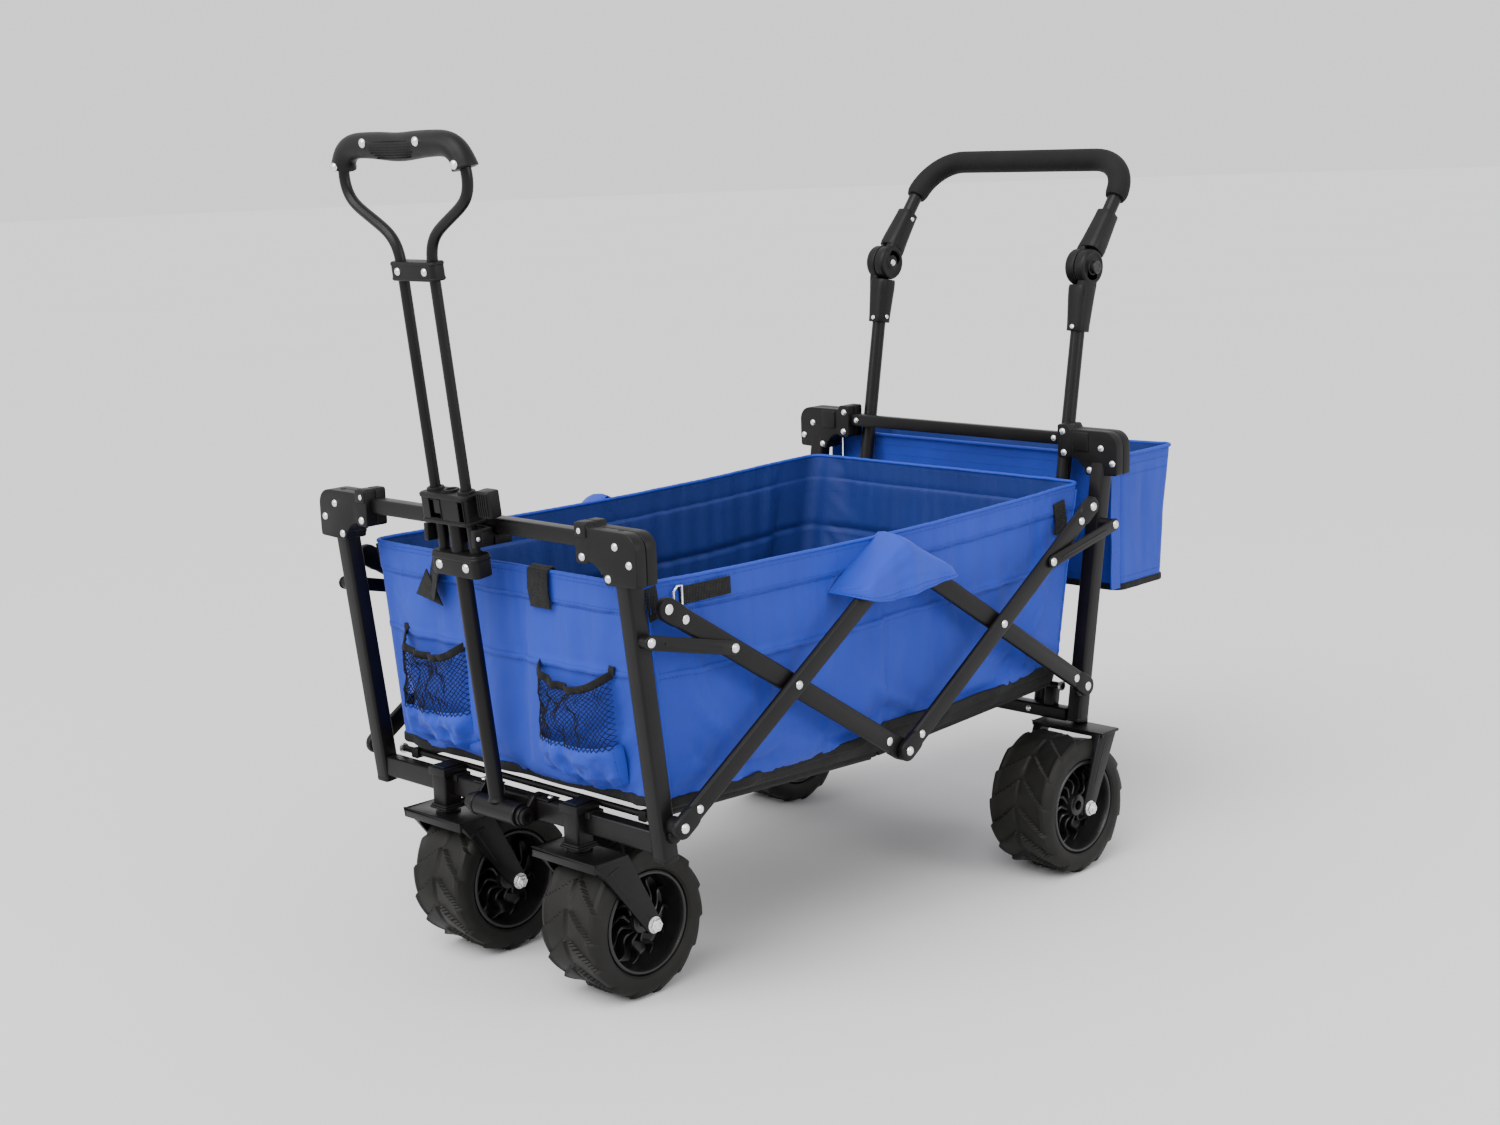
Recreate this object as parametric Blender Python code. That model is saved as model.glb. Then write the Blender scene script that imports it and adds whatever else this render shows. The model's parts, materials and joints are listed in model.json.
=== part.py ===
"""Folding beach cart: a fabric tub in a scissor frame on four wide wheels.

X runs along the cart, from the pull handle at -X to the push handle at +X. Y runs across it, and
+Z is up. The origin is on the ground under the middle of the cart. Lengths are metres.
"""
import math

import bmesh
import bpy
from mathutils import Matrix, Vector

# Places along the cart are counted from the front scissor pivot, which stands here.
FRONT_X = -0.4380
GAP = 0.0003                 # between parts that touch

# Wheels
WHEEL_R = 0.089
WHEEL_HALF = 0.0475
WHEEL_SIDES = 24
RIM_R = 0.062
HUB_SIDES = 16
BORE_R = 0.0065
AXLE_R = 0.005
AXLE_REACH = 0.060           # from the wheel's middle to the end of the nut
NUT_R = 0.008
FORK_LEG_IN = 0.0505
FORK_SHEET = 0.003

CASTER = (-0.013, 0.119)     # the swivel axis: along, across
CASTER_AXLE_X = 0.0465
CASTER_PLATE_TOP = 0.182
CASTER_PLATE = (0.051, 0.108)
REAR_AXLE = (0.698, 0.252)
REAR_PLATE_TOP = 0.184
REAR_PLATE_X = (0.722, 0.760)
REAR_PLATE_HALF = 0.057

# End frames
POST = 0.022                 # square tube
TUBE_WALL = 0.0015
POST_Y = 0.250
FRONT_POST = ((-0.002, 0.197), (-0.0405, 0.545))   # foot and head: along, up
REAR_POST = ((0.748, 0.1865), (0.8095, 0.535))
FRONT_BAR_TOP = (-0.037, 0.5515)
FRONT_BAR_SIZE = 0.018
FRONT_LOW = (-0.003, 0.2155)
FRONT_LOW_SIZE = (0.018, 0.025)
REAR_LOW = (0.745, 0.1945)
REAR_LOW_SIZE = (0.018, 0.017)
REAR_BAR_TOP = (0.808, 0.5515)
REAR_BAR_SIZE = (0.012, 0.017)
CORNER_DEPTH = 0.030
FRONT_CORNER_X = -0.0385
REAR_CORNER_X = 0.8115
TOP_BAR_HALF = 0.205
MOUNT_SIZE = (0.032, 0.030)  # caster mount: along, across

# Scissor: each side has two crossed pairs of bars
BAR_HALF = 0.2216            # pivot to pivot, half a bar
BAR_ANGLE = math.radians(32.8)
BAR_LOW = 0.237
BAR_WIDTH = 0.025
BAR_THICK = 0.008
INNER_LAYER = 0.2625
OUTER_LAYER = 0.2715
PITCH = BAR_HALF * math.cos(BAR_ANGLE)
RISE = BAR_HALF * math.sin(BAR_ANGLE)
LINK_WIDTH = 0.016
LINK_THICK = 0.003
FRONT_LINK = ((-0.031, 0.447), 0.1112)   # post pivot, and how far its end is from the crossing
REAR_LINK = ((0.790, 0.447), 0.1156)

# Floor: two halves that fold upwards in the middle
FLOOR_FRONT = (0.013, 0.234)
FLOOR_REAR = (0.735, 0.234)
FLOOR_MIDDLE = (0.374, 0.218)
RAIL = 0.012
FRONT_RAIL_Y = 0.205
REAR_RAIL_Y = 0.190
BOARD_HALF = 0.226
BOARD_THICK = 0.004

# Soft parts
CLOTH = 0.005
TUB_Y = 0.2375
TUB_Z = (0.243, 0.502)
TUB_FRONT = (0.010, -0.012)  # along, at the bottom and at the rim
TUB_REAR = (0.728, 0.779)
POCKET_Y = (0.060, 0.190)
POCKET_Z = (0.264, 0.395)
POCKET_REACH = 0.034
BASKET_Y = 0.2505
BASKET_Z = (0.346, 0.528)
BASKET_FRONT = 0.843
BASKET_SIDE_FROM = 0.8275
BASKET_REAR = (0.952, 0.976)

# Pull handle, measured along its own leaning axis from its pivot
PULL_PIVOT = (-0.030, 0.212)
PULL_LEAN = math.atan(0.105)
SLEEVE_R = 0.013
SLEEVE_HALF = 0.040
CENTRE_R = 0.0095
TWIN_R = 0.006
TWIN_Y = 0.0275
COLLAR = (0.345, 0.380)
LOW_CLAMP = (0.284, 0.311)
TOP_CLAMP = (0.616, 0.637)
LOOP_NECK = 0.660
LOOP_WIDE = (0.1085, 0.705)
LOOP_TOP = 0.762
GRIP_FROM = 0.731
GRIP_R = 0.0145

# Push handle
TILT = (0.873, 0.773)
PUSH_Y = 0.176
PUSH_LEAN = math.atan(0.1835)
PUSH_R = 0.0095
HANDLE_LEAN = math.radians(39)
HANDLE_REACH = 0.177
HANDLE_CORNER = 0.060
FOAM_R = 0.0155
HOUSING_R = 0.0145
TILT_DISC_R = 0.024

BLACK_PAINT = (0.030, 0.027, 0.027)
BLACK_PLASTIC = (0.018, 0.018, 0.018)
BLUE_CLOTH = (0.045, 0.115, 0.52)


def paint(name, colour, roughness, metallic=0.0):
    made = bpy.data.materials.get(name)
    if made is None:
        made = bpy.data.materials.new(name)
        made.use_nodes = True
        shader = made.node_tree.nodes["Principled BSDF"]
        shader.inputs["Base Color"].default_value = (*colour, 1.0)
        shader.inputs["Roughness"].default_value = roughness
        shader.inputs["Metallic"].default_value = metallic
        made.diffuse_color = (*colour, 1.0)
    return made


def frame_paint(name):
    return paint(name + "_paint", BLACK_PAINT, 0.38, 0.2)


def plastic(name):
    return paint(name + "_plastic", BLACK_PLASTIC, 0.45)


def rubber(name):
    return paint(name + "_rubber", (0.020, 0.020, 0.018), 0.80)


def cloth(name):
    return paint(name + "_cloth", BLUE_CLOTH, 0.85)


def world(along, across, up):
    """A place counted from the front scissor pivot, as a place in the cart's frame."""
    return Vector((along + FRONT_X, across, up))


def clear_scene():
    for thing in list(bpy.data.objects):
        bpy.data.objects.remove(thing, do_unlink=True)


def pivot(name, place, lean=0.0):
    """An empty on a joint's axis, leaning back about Y."""
    made = bpy.data.objects.new(name, None)
    made.empty_display_size = 0.03
    made.location = place
    made.rotation_euler = (0, lean, 0)
    bpy.context.scene.collection.objects.link(made)
    return made


def put(name, shape, colour, origin=(0, 0, 0), parent=None, smooth=False):
    """Make a named object from a bmesh, with its origin at a place in its parent's frame."""
    bmesh.ops.translate(shape, verts=shape.verts, vec=-Vector(origin))
    bmesh.ops.recalc_face_normals(shape, faces=shape.faces)
    mesh = bpy.data.meshes.new(name)
    shape.to_mesh(mesh)
    shape.free()
    if smooth:
        mesh.shade_smooth()
        mesh.set_sharp_from_angle(angle=math.radians(35))
    mesh.materials.append(colour)
    made = bpy.data.objects.new(name, mesh)
    made.location = origin
    made.parent = parent
    bpy.context.scene.collection.objects.link(made)
    return made


def loose(shape):
    mesh = bpy.data.meshes.new("loose")
    bmesh.ops.recalc_face_normals(shape, faces=shape.faces)
    shape.to_mesh(mesh)
    shape.free()
    made = bpy.data.objects.new("loose", mesh)
    bpy.context.scene.collection.objects.link(made)
    return made


def combine(base, others, operation="UNION"):
    """Join solids to the first one, or cut them out of it, and give the result as a bmesh."""
    stock = loose(base)
    tools = [loose(other) for other in others]
    for tool in tools:
        change = stock.modifiers.new("change", "BOOLEAN")
        change.operation = operation
        change.object = tool
    ready = stock.evaluated_get(bpy.context.evaluated_depsgraph_get())
    shape = bmesh.new()
    shape.from_mesh(ready.to_mesh())
    ready.to_mesh_clear()
    for thing in [stock, *tools]:
        mesh = thing.data
        bpy.data.objects.remove(thing, do_unlink=True)
        bpy.data.meshes.remove(mesh)
    return shape


def cut(base, *others):
    return combine(base, others, "DIFFERENCE")


def block(low, high):
    """A box between two corners."""
    shape = bmesh.new()
    bmesh.ops.create_cube(shape, size=1.0)
    for vert in shape.verts:
        vert.co = Vector([a if c < 0 else b for a, b, c in zip(low, high, vert.co)])
    return shape


def prism(outline, start, end, axis):
    """An outline, given in the two other axes in X, Y, Z order, pushed along an axis."""
    shape = bmesh.new()
    rings = []
    for along in (start, end):
        ring = []
        for a, b in outline:
            place = [a, b]
            place.insert("XYZ".index(axis), along)
            ring.append(shape.verts.new(place))
        rings.append(ring)
    shape.faces.new(rings[0])
    shape.faces.new(list(reversed(rings[1])))
    bridge(shape, *rings)
    return shape


def bridge(shape, ring, other):
    count = len(ring)
    for n in range(count):
        after = (n + 1) % count
        shape.faces.new((ring[n], ring[after], other[after], other[n]))


def arc(centre, radius, start, end, steps):
    """Points on an arc, with its angles in degrees."""
    points = []
    for n in range(steps + 1):
        angle = math.radians(start + (end - start) * n / steps)
        points.append((centre[0] + radius * math.cos(angle), centre[1] + radius * math.sin(angle)))
    return points


def stadium(start, end, width, steps=6):
    """The outline of a flat bar with round ends between two points."""
    angle = math.degrees(math.atan2(end[1] - start[1], end[0] - start[0]))
    tail = arc(start, width / 2, angle + 90, angle + 270, steps)
    return tail + arc(end, width / 2, angle - 90, angle + 90, steps)


def rod(start, end, radius, sides=12, turn=0.5):
    """A solid round bar between two points."""
    start, end = Vector(start), Vector(end)
    shape = bmesh.new()
    rings = []
    across, side = cross_axes(end - start)
    for place in (start, end):
        rings.append(circle(shape, place, across, side, radius, sides, turn))
    shape.faces.new(rings[0])
    shape.faces.new(list(reversed(rings[1])))
    bridge(shape, *rings)
    return shape


def cross_axes(direction):
    """Two unit vectors square to a direction."""
    near = Vector((0, 1, 0)) if abs(direction.normalized().y) < 0.9 else Vector((0, 0, 1))
    across = near.cross(direction).normalized()
    return across, direction.cross(across).normalized()


def circle(shape, centre, across, side, radius, sides, turn=0.5):
    ring = []
    for n in range(sides):
        angle = 2 * math.pi * (n + turn) / sides
        offset = across * math.cos(angle) + side * math.sin(angle)
        ring.append(shape.verts.new(centre + offset * radius))
    return ring


def square_tube(start, end, width, depth, wall):
    """A rectangular tube, open at both ends. Width is across Y where the tube isn't along Y."""
    start, end = Vector(start), Vector(end)
    along = end - start
    if abs(along.normalized().y) > 0.9:
        across, side = Vector((0, 0, 1)), Vector((1, 0, 0))
    else:
        across, side = Vector((0, 1, 0)), Vector((0, 1, 0)).cross(along).normalized()
    soft = 0.16 * min(width, depth)
    shape = bmesh.new()
    rings = []
    for place in (start, end):
        for inset in (0.0, wall):
            half_w, half_d = width / 2 - inset, depth / 2 - inset
            edge = soft - inset * 0.5
            ring = []
            for a, b, first in ((1, 1, 0), (-1, 1, 1), (-1, -1, 0), (1, -1, 1)):
                corner = [(a * half_w, b * (half_d - edge)), (a * (half_w - edge), b * half_d)]
                if first:
                    corner.reverse()
                ring += [shape.verts.new(place + across * u + side * v) for u, v in corner]
            rings.append(ring)
    outer_a, inner_a, outer_b, inner_b = rings
    bridge(shape, outer_a, outer_b)
    bridge(shape, inner_b, inner_a)
    bridge(shape, inner_a, outer_a)
    bridge(shape, outer_b, inner_b)
    return shape


def turned(profile, centre, sides):
    """A closed profile of (radius, offset along Y) points turned about a line along Y.

    A flat, and not an edge, faces straight down, and radii are of the flats.
    """
    shape = bmesh.new()
    across, side = Vector((1, 0, 0)), Vector((0, 0, 1))
    grow = 1 / math.cos(math.pi / sides)
    turn = 0.5 if sides % 4 == 0 else 0.0
    rings = []
    for radius, offset in profile:
        place = Vector(centre) + Vector((0, offset, 0))
        rings.append(circle(shape, place, across, side, radius * grow, sides, turn))
    for n, ring in enumerate(rings):
        bridge(shape, ring, rings[(n + 1) % len(rings)])
    return shape


def swept(path, radius, sides=10, inner=None):
    """A tube along a path: solid with end caps, or hollow with open ends."""
    shape = bmesh.new()
    skins = [radius] if inner is None else [radius, inner]
    ends = []
    normal = cross_axes(path[1] - path[0])[0]
    rings = {r: [] for r in skins}
    for n, place in enumerate(path):
        ahead = path[min(n + 1, len(path) - 1)] - path[max(n - 1, 0)]
        ahead.normalize()
        normal = (normal - ahead * normal.dot(ahead)).normalized()
        side = ahead.cross(normal)
        for r in skins:
            rings[r].append(circle(shape, place, normal, side, r, sides))
    for r in skins:
        for n in range(len(path) - 1):
            bridge(shape, rings[r][n], rings[r][n + 1])
    ends = [[rings[r][at] for r in skins] for at in (0, -1)]
    for end in ends:
        if inner is None:
            shape.faces.new(end[0])
        else:
            bridge(shape, *end)
    return shape


def rounded(points, radii, steps=4):
    """A path through corner points, with each inner corner rounded to its radius."""
    path = [Vector(points[0])]
    for n in range(1, len(points) - 1):
        here = Vector(points[n])
        back = (Vector(points[n - 1]) - here).normalized()
        ahead = (Vector(points[n + 1]) - here).normalized()
        half = back.angle(ahead) / 2
        reach = radii[n - 1] / math.tan(half)
        centre = here + (back + ahead).normalized() * (radii[n - 1] / math.sin(half))
        first, last = here + back * reach - centre, here + ahead * reach - centre
        whole = first.angle(last)
        for k in range(steps + 1):
            share = k / steps
            spoke = first * math.sin((1 - share) * whole) + last * math.sin(share * whole)
            path.append(centre + spoke / math.sin(whole))
    path.append(Vector(points[-1]))
    return path


def sides():
    """The left side of the cart is -Y, seen from behind it facing the pull handle."""
    return (("left", -1), ("right", 1))


def on_side(sign, near, far):
    """Two distances from the middle plane, as low and high Y on one side."""
    return sorted((sign * near, sign * far))


# Wheels and forks


def tyre(name, centre):
    edge, bead = WHEEL_HALF, 0.041
    profile = [
        (RIM_R, bead), (RIM_R + 0.004, edge), (0.079, edge), (0.0855, bead), (WHEEL_R, 0.030),
        (WHEEL_R, -0.030), (0.0855, -bead), (0.079, -edge), (RIM_R + 0.004, -edge), (RIM_R, -bead),
    ]
    shape = turned(profile, (0, 0, 0), WHEEL_SIDES)
    bmesh.ops.translate(shape, verts=shape.verts, vec=centre)
    put(name, shape, rubber(name), centre, smooth=True)


def hub(name, centre):
    outer, barrel, web, boss = RIM_R - 0.0015, 0.057, 0.010, 0.017
    half = [
        (BORE_R, 0.034), (boss, 0.034), (boss + 0.001, web), (barrel - 0.002, web + 0.003),
        (barrel, 0.044), (outer, 0.044),
    ]
    profile = half + [(radius, -offset) for radius, offset in reversed(half)]
    shape = turned(profile, (0, 0, 0), HUB_SIDES)
    bmesh.ops.translate(shape, verts=shape.verts, vec=centre)
    put(name, shape, plastic(name), centre, smooth=True)


def axle(centre, sides_out=(-1, 1)):
    """The axle bolt with a nut at each end."""
    middle = Vector(centre)
    reach = Vector((0, AXLE_REACH, 0))
    parts = [rod(middle - reach, middle + reach, AXLE_R, 10)]
    for sign in sides_out:
        face = middle + Vector((0, sign * (FORK_LEG_IN + FORK_SHEET - 0.0005), 0))
        end = middle + Vector((0, sign * (AXLE_REACH - 0.002), 0))
        parts.append(rod(face, end, NUT_R, 6))
    return parts


def fork_leg(centre, sign, top, top_x):
    """A tapered side plate from the top plate down round the axle."""
    x, across, z = centre
    width = 0.011
    lean = math.atan2(top - z, sum(top_x) / 2 - x)
    start, end = math.degrees(lean) - 90, math.degrees(lean) - 270
    outline = [(top_x[0], top), (top_x[1], top), *arc((x, z), width, start, end, 6)]
    near, far = FORK_LEG_IN * sign, (FORK_LEG_IN + FORK_SHEET) * sign
    return prism(outline, across + near, across + far, "Y")


def fork(centre, top, top_x, half, skirt):
    """A bent plate over the wheel with two legs and the axle, as one welded piece."""
    x, across, z = centre
    thick = 0.004
    plate = block((top_x[0], across - half, top - thick), (top_x[1], across + half, top))
    lip = block((top_x[0], across - half, top - skirt), (top_x[0] + FORK_SHEET, across + half, top))
    legs = [fork_leg(centre, sign, top - 0.001, top_x) for sign in (-1, 1)]
    return combine(plate, [lip, *legs, *axle(centre)])


def casters():
    for side, sign in sides():
        stem = world(CASTER[0], sign * CASTER[1], CASTER_PLATE_TOP)
        centre = world(CASTER_AXLE_X, sign * CASTER[1], WHEEL_R)
        half_x = CASTER_PLATE[0] / 2
        top_x = (stem.x - half_x, stem.x + half_x)
        body = fork(centre, CASTER_PLATE_TOP, top_x, CASTER_PLATE[1] / 2, 0.011)
        bush = rod(stem - Vector((0, 0, 0.002)), stem + Vector((0, 0, 0.0045)), 0.012, 12)
        name = "caster_fork_" + side
        put(name, combine(body, [bush]), frame_paint(name), stem)
        tyre("front_tyre_" + side, centre)
        hub("front_hub_" + side, centre)


def rear_wheels():
    for side, sign in sides():
        centre = world(REAR_AXLE[0], sign * REAR_AXLE[1], WHEEL_R)
        top_x = tuple(x + FRONT_X for x in REAR_PLATE_X)
        name = "rear_fork_" + side
        shape = fork(centre, REAR_PLATE_TOP - GAP, top_x, REAR_PLATE_HALF, 0.007)
        put(name, shape, frame_paint(name), centre)
        tyre("rear_tyre_" + side, centre)
        hub("rear_hub_" + side, centre)


# End frames


def post_at(post, up):
    """How far along the cart a leaning post's middle is at a height."""
    (x0, z0), (x1, z1) = post
    return x0 + (x1 - x0) * (up - z0) / (z1 - z0)


def posts():
    for end, post in (("front", FRONT_POST), ("rear", REAR_POST)):
        for side, sign in sides():
            foot = world(post[0][0], sign * POST_Y, post[0][1])
            head = world(post[1][0], sign * POST_Y, post[1][1])
            name = end + "_post_" + side
            put(name, square_tube(foot, head, POST, POST, TUBE_WALL), frame_paint(name), foot)


def cross_bar(name, place, size, reach):
    shape = square_tube(world(place[0], -reach, place[1]), world(place[0], reach, place[1]),
                        size[1], size[0], TUBE_WALL)
    put(name, shape, frame_paint(name), world(place[0], 0, place[1]))


def caster_mount(sign):
    """A clamp over the lower bar with the square stem that the caster turns under."""
    x, across = world(CASTER[0], sign * CASTER[1], 0).xy
    half_x, half_y = MOUNT_SIZE[0] / 2, MOUNT_SIZE[1] / 2
    head_x = x + 0.003
    clamp = block((head_x - half_x, across - half_y, 0.200), (head_x + half_x, across + half_y, 0.238))
    stem = block((x - 0.0125, across - 0.0125, CASTER_PLATE_TOP + 0.005),
                 (x + 0.0125, across + 0.0125, 0.210))
    return [clamp, stem]


def handle_lugs():
    """Two ears on the lower bar, and the bolt that the pull handle's sleeve turns on."""
    x, up = PULL_PIVOT[0] + FRONT_X, PULL_PIVOT[1]
    bar = FRONT_LOW[0] + FRONT_X
    parts = [rod((x, -0.056, up), (x, 0.056, up), 0.0055, 10)]
    for sign in (-1, 1):
        low, high = on_side(sign, SLEEVE_HALF + 0.002, SLEEVE_HALF + 0.007)
        outline = arc((x, up), 0.011, 60, 300, 6) + [(bar, up - 0.0095), (bar, up + 0.0095)]
        parts.append(prism(outline, low, high, "Y"))
    return parts


def front_lower_bar():
    reach = POST_Y - POST / 2 - GAP
    x, up = FRONT_LOW[0] + FRONT_X, FRONT_LOW[1]
    half_x, half_z = FRONT_LOW_SIZE[0] / 2, FRONT_LOW_SIZE[1] / 2
    bar = block((x - half_x, -reach, up - half_z), (x + half_x, reach, up + half_z))
    parts = caster_mount(-1) + caster_mount(1) + handle_lugs()
    name = "front_lower_bar"
    put(name, combine(bar, parts), frame_paint(name), (x, 0, up))


def corner_outline(sign):
    """The elbow seen along the cart: a rounded outer corner, and lugs round an inner curve."""
    points = [
        (0.186, 0.534), (0.186, 0.568), (0.190, 0.572), (0.201, 0.572), (0.207, 0.566),
        (0.262, 0.566), *arc((0.263, 0.547), 0.018, 75, 0, 4), (0.281, 0.513), (0.277, 0.509),
        (0.231, 0.5075), (0.228, 0.514), (0.229, 0.520), *arc((0.205, 0.507), 0.023, 25, 85, 4),
        (0.203, 0.527), (0.190, 0.527),
    ]
    return [(sign * across, up) for across, up in points]


def corners():
    """Plastic elbows that take the head of each post and the end of each top bar."""
    ends = (("front", FRONT_CORNER_X, FRONT_POST, FRONT_BAR_TOP, (FRONT_BAR_SIZE, FRONT_BAR_SIZE)),
            ("rear", REAR_CORNER_X, REAR_POST, REAR_BAR_TOP, REAR_BAR_SIZE))
    for end, along, post, bar, size in ends:
        middle = along + FRONT_X
        bar_x = bar[0] + FRONT_X
        for side, sign in sides():
            shape = prism(corner_outline(sign), middle - CORNER_DEPTH / 2,
                          middle + CORNER_DEPTH / 2, "X")
            room = POST + 2 * GAP
            socket = square_socket(post, sign, post[0][1], post[1][1] + 0.003, room)
            near, far = on_side(sign, 0.15, TOP_BAR_HALF + GAP)
            slot = block((bar_x - size[0] / 2 - GAP, near, bar[1] - size[1] / 2 - GAP),
                         (bar_x + size[0] / 2 + GAP, far, bar[1] + size[1] / 2 + GAP))
            name = end + "_corner_" + side
            put(name, cut(shape, socket, slot), plastic(name), (middle, sign * POST_Y, 0.54))


def square_socket(post, sign, low, high, room):
    """A leaning square bar, a little larger than the post that it makes room for."""
    shape = bmesh.new()
    rings = []
    half = room / 2
    for up in (low, high):
        x = post_at(post, up)
        lean = math.atan2(post[1][0] - post[0][0], post[1][1] - post[0][1])
        reach = half / math.cos(lean)
        ring = []
        for a, b in ((-1, -1), (1, -1), (1, 1), (-1, 1)):
            ring.append(shape.verts.new(world(x + a * reach, sign * POST_Y + b * half, up)))
        rings.append(ring)
    shape.faces.new(rings[0])
    shape.faces.new(list(reversed(rings[1])))
    bridge(shape, *rings)
    return shape


def handle_dock():
    """A plastic clip on the front top bar that holds the upright pull handle."""
    bar, up = FRONT_BAR_TOP[0] + FRONT_X, FRONT_BAR_TOP[1]
    front, back = bar - 0.0395, bar + 0.013
    low, high = up - 0.021, up - 0.0005
    base = block((bar - 0.0155, -0.046, low), (back, 0.046, high))
    arms = []
    for sign in (-1, 1):
        near, far = on_side(sign, 0.0385, 0.046)
        arms.append(block((front, near, low), (bar, far, high)))
    half = FRONT_BAR_SIZE / 2 + GAP
    room = block((bar - half, -0.06, up - half), (bar + half, 0.06, up + half))
    put("handle_dock", cut(combine(base, arms), room), plastic("handle_dock"), (bar, 0, up))


# Scissor bars and links


def bar_ends():
    """The pivots of the scissor: the foot and top of each bar, along and up."""
    low, high = BAR_LOW, BAR_LOW + 2 * RISE
    return {
        "a": ((0.0, high), (2 * PITCH, low)),
        "b": ((0.0, low), (2 * PITCH, high)),
        "c": ((2 * PITCH, low), (4 * PITCH, high)),
        "d": ((2 * PITCH, high), (4 * PITCH, low)),
    }


def scissor_bars():
    origins = {
        "a": (PITCH, BAR_LOW + RISE), "b": (0.0, BAR_LOW),
        "c": (3 * PITCH, BAR_LOW + RISE), "d": (2 * PITCH, BAR_LOW + 2 * RISE),
    }
    for letter, (start, end) in bar_ends().items():
        layer = INNER_LAYER if letter in "ad" else OUTER_LAYER
        for side, sign in sides():
            points = stadium(start, end, BAR_WIDTH)
            outline = [(x + FRONT_X, z) for x, z in points]
            shape = prism(outline, *on_side(sign, layer, layer + BAR_THICK), "Y")
            name = "scissor_bar_" + letter + "_" + side
            x, z = origins[letter]
            put(name, shape, frame_paint(name), world(x, sign * layer, z))


def links():
    """Short links from each post to the bar that comes down from it."""
    for end, (foot, reach), layer in (("front", FRONT_LINK, OUTER_LAYER),
                                      ("rear", REAR_LINK, OUTER_LAYER + BAR_THICK + 0.001)):
        way, middle = (-1, PITCH) if end == "front" else (1, 3 * PITCH)
        tip = (middle + way * reach * math.cos(BAR_ANGLE),
               BAR_LOW + RISE + reach * math.sin(BAR_ANGLE))
        for side, sign in sides():
            outline = [(x + FRONT_X, z) for x, z in stadium(foot, tip, LINK_WIDTH)]
            shape = prism(outline, *on_side(sign, layer, layer + LINK_THICK), "Y")
            name = end + "_link_" + side
            put(name, shape, frame_paint(name), world(foot[0], sign * layer, foot[1]))


# Floor and soft parts


def floor():
    """Each half is two rails on a pivot rod between the posts, with a stiff board on top."""
    halves = (("front", FLOOR_FRONT, FRONT_RAIL_Y, 0.0), ("rear", FLOOR_REAR, REAR_RAIL_Y, 0.0))
    for end, foot, rail_y, _ in halves:
        start, tip = world(foot[0], 0, foot[1]), world(FLOOR_MIDDLE[0], 0, FLOOR_MIDDLE[1])
        reach = POST_Y - POST / 2 - 0.002
        cross = rod(start - Vector((0, reach, 0)), start + Vector((0, reach, 0)), 0.004, 8)
        inward = (tip - start).normalized()
        rails = []
        for sign in (-1, 1):
            shift = Vector((0, sign * rail_y, 0))
            rails.append(solid_bar(start + shift - inward * 0.006, tip + shift + inward * 0.006, RAIL))
        name = "floor_rail_" + end
        put(name, combine(cross, rails), frame_paint(name), start)
        lift = Vector((0, 0, RAIL / 2 + GAP))
        board = slab(start + inward * 0.016 + lift, tip - inward * 0.003 + lift, BOARD_HALF, BOARD_THICK)
        name = "floor_board_" + end
        put(name, board, cloth(name), start)


def solid_bar(start, end, size):
    shape = bmesh.new()
    along = (end - start).normalized()
    side = Vector((0, 1, 0)).cross(along)
    half = size / 2
    rings = []
    for place in (start, end):
        ring = []
        for a, b in ((-1, -1), (1, -1), (1, 1), (-1, 1)):
            ring.append(shape.verts.new(place + Vector((0, a * half, 0)) + side * (b * half)))
        rings.append(ring)
    shape.faces.new(rings[0])
    shape.faces.new(list(reversed(rings[1])))
    bridge(shape, *rings)
    return shape


def slab(start, end, half, thick):
    """A flat board between two places on its underside."""
    up = Vector((0, 0, thick))
    outline = [(p.x, p.z) for p in (start, end, end + up, start + up)]
    return prism(outline, -half, half, "Y")


def open_box(low, high, wall, floor_thick=None):
    """Leaning walls round a space that is open on top. Each rim is (front, back, half width, up).

    With no floor thickness the box is open underneath too.
    """
    shape = bmesh.new()
    rings = {}
    for key, (front, back, half, up) in (("low", low), ("high", high)):
        for inset in (0.0, wall):
            level = up
            if key == "low" and inset and floor_thick:
                level = up + floor_thick
            corners_at = ((front + inset, -half + inset), (back - inset, -half + inset),
                          (back - inset, half - inset), (front + inset, half - inset))
            rings[key, inset > 0] = [shape.verts.new(world(x, y, level)) for x, y in corners_at]
    bridge(shape, rings["low", False], rings["high", False])
    bridge(shape, rings["high", True], rings["low", True])
    bridge(shape, rings["high", False], rings["high", True])
    if floor_thick:
        shape.faces.new(rings["low", False])
        shape.faces.new(list(reversed(rings["low", True])))
    else:
        bridge(shape, rings["low", True], rings["low", False])
    return shape


def tub_walls():
    walls = open_box((TUB_FRONT[0], TUB_REAR[0], TUB_Y, TUB_Z[0]),
                     (TUB_FRONT[1], TUB_REAR[1], TUB_Y, TUB_Z[1]), CLOTH)
    pockets = []
    for sign in (-1, 1):
        pockets.append(pocket(sign))
    put("tub_walls", combine(walls, pockets), cloth("tub_walls"), world(0, 0, BAR_LOW))


def front_wall_at(up):
    share = (up - TUB_Z[0]) / (TUB_Z[1] - TUB_Z[0])
    return TUB_FRONT[0] + (TUB_FRONT[1] - TUB_FRONT[0]) * share


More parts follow.
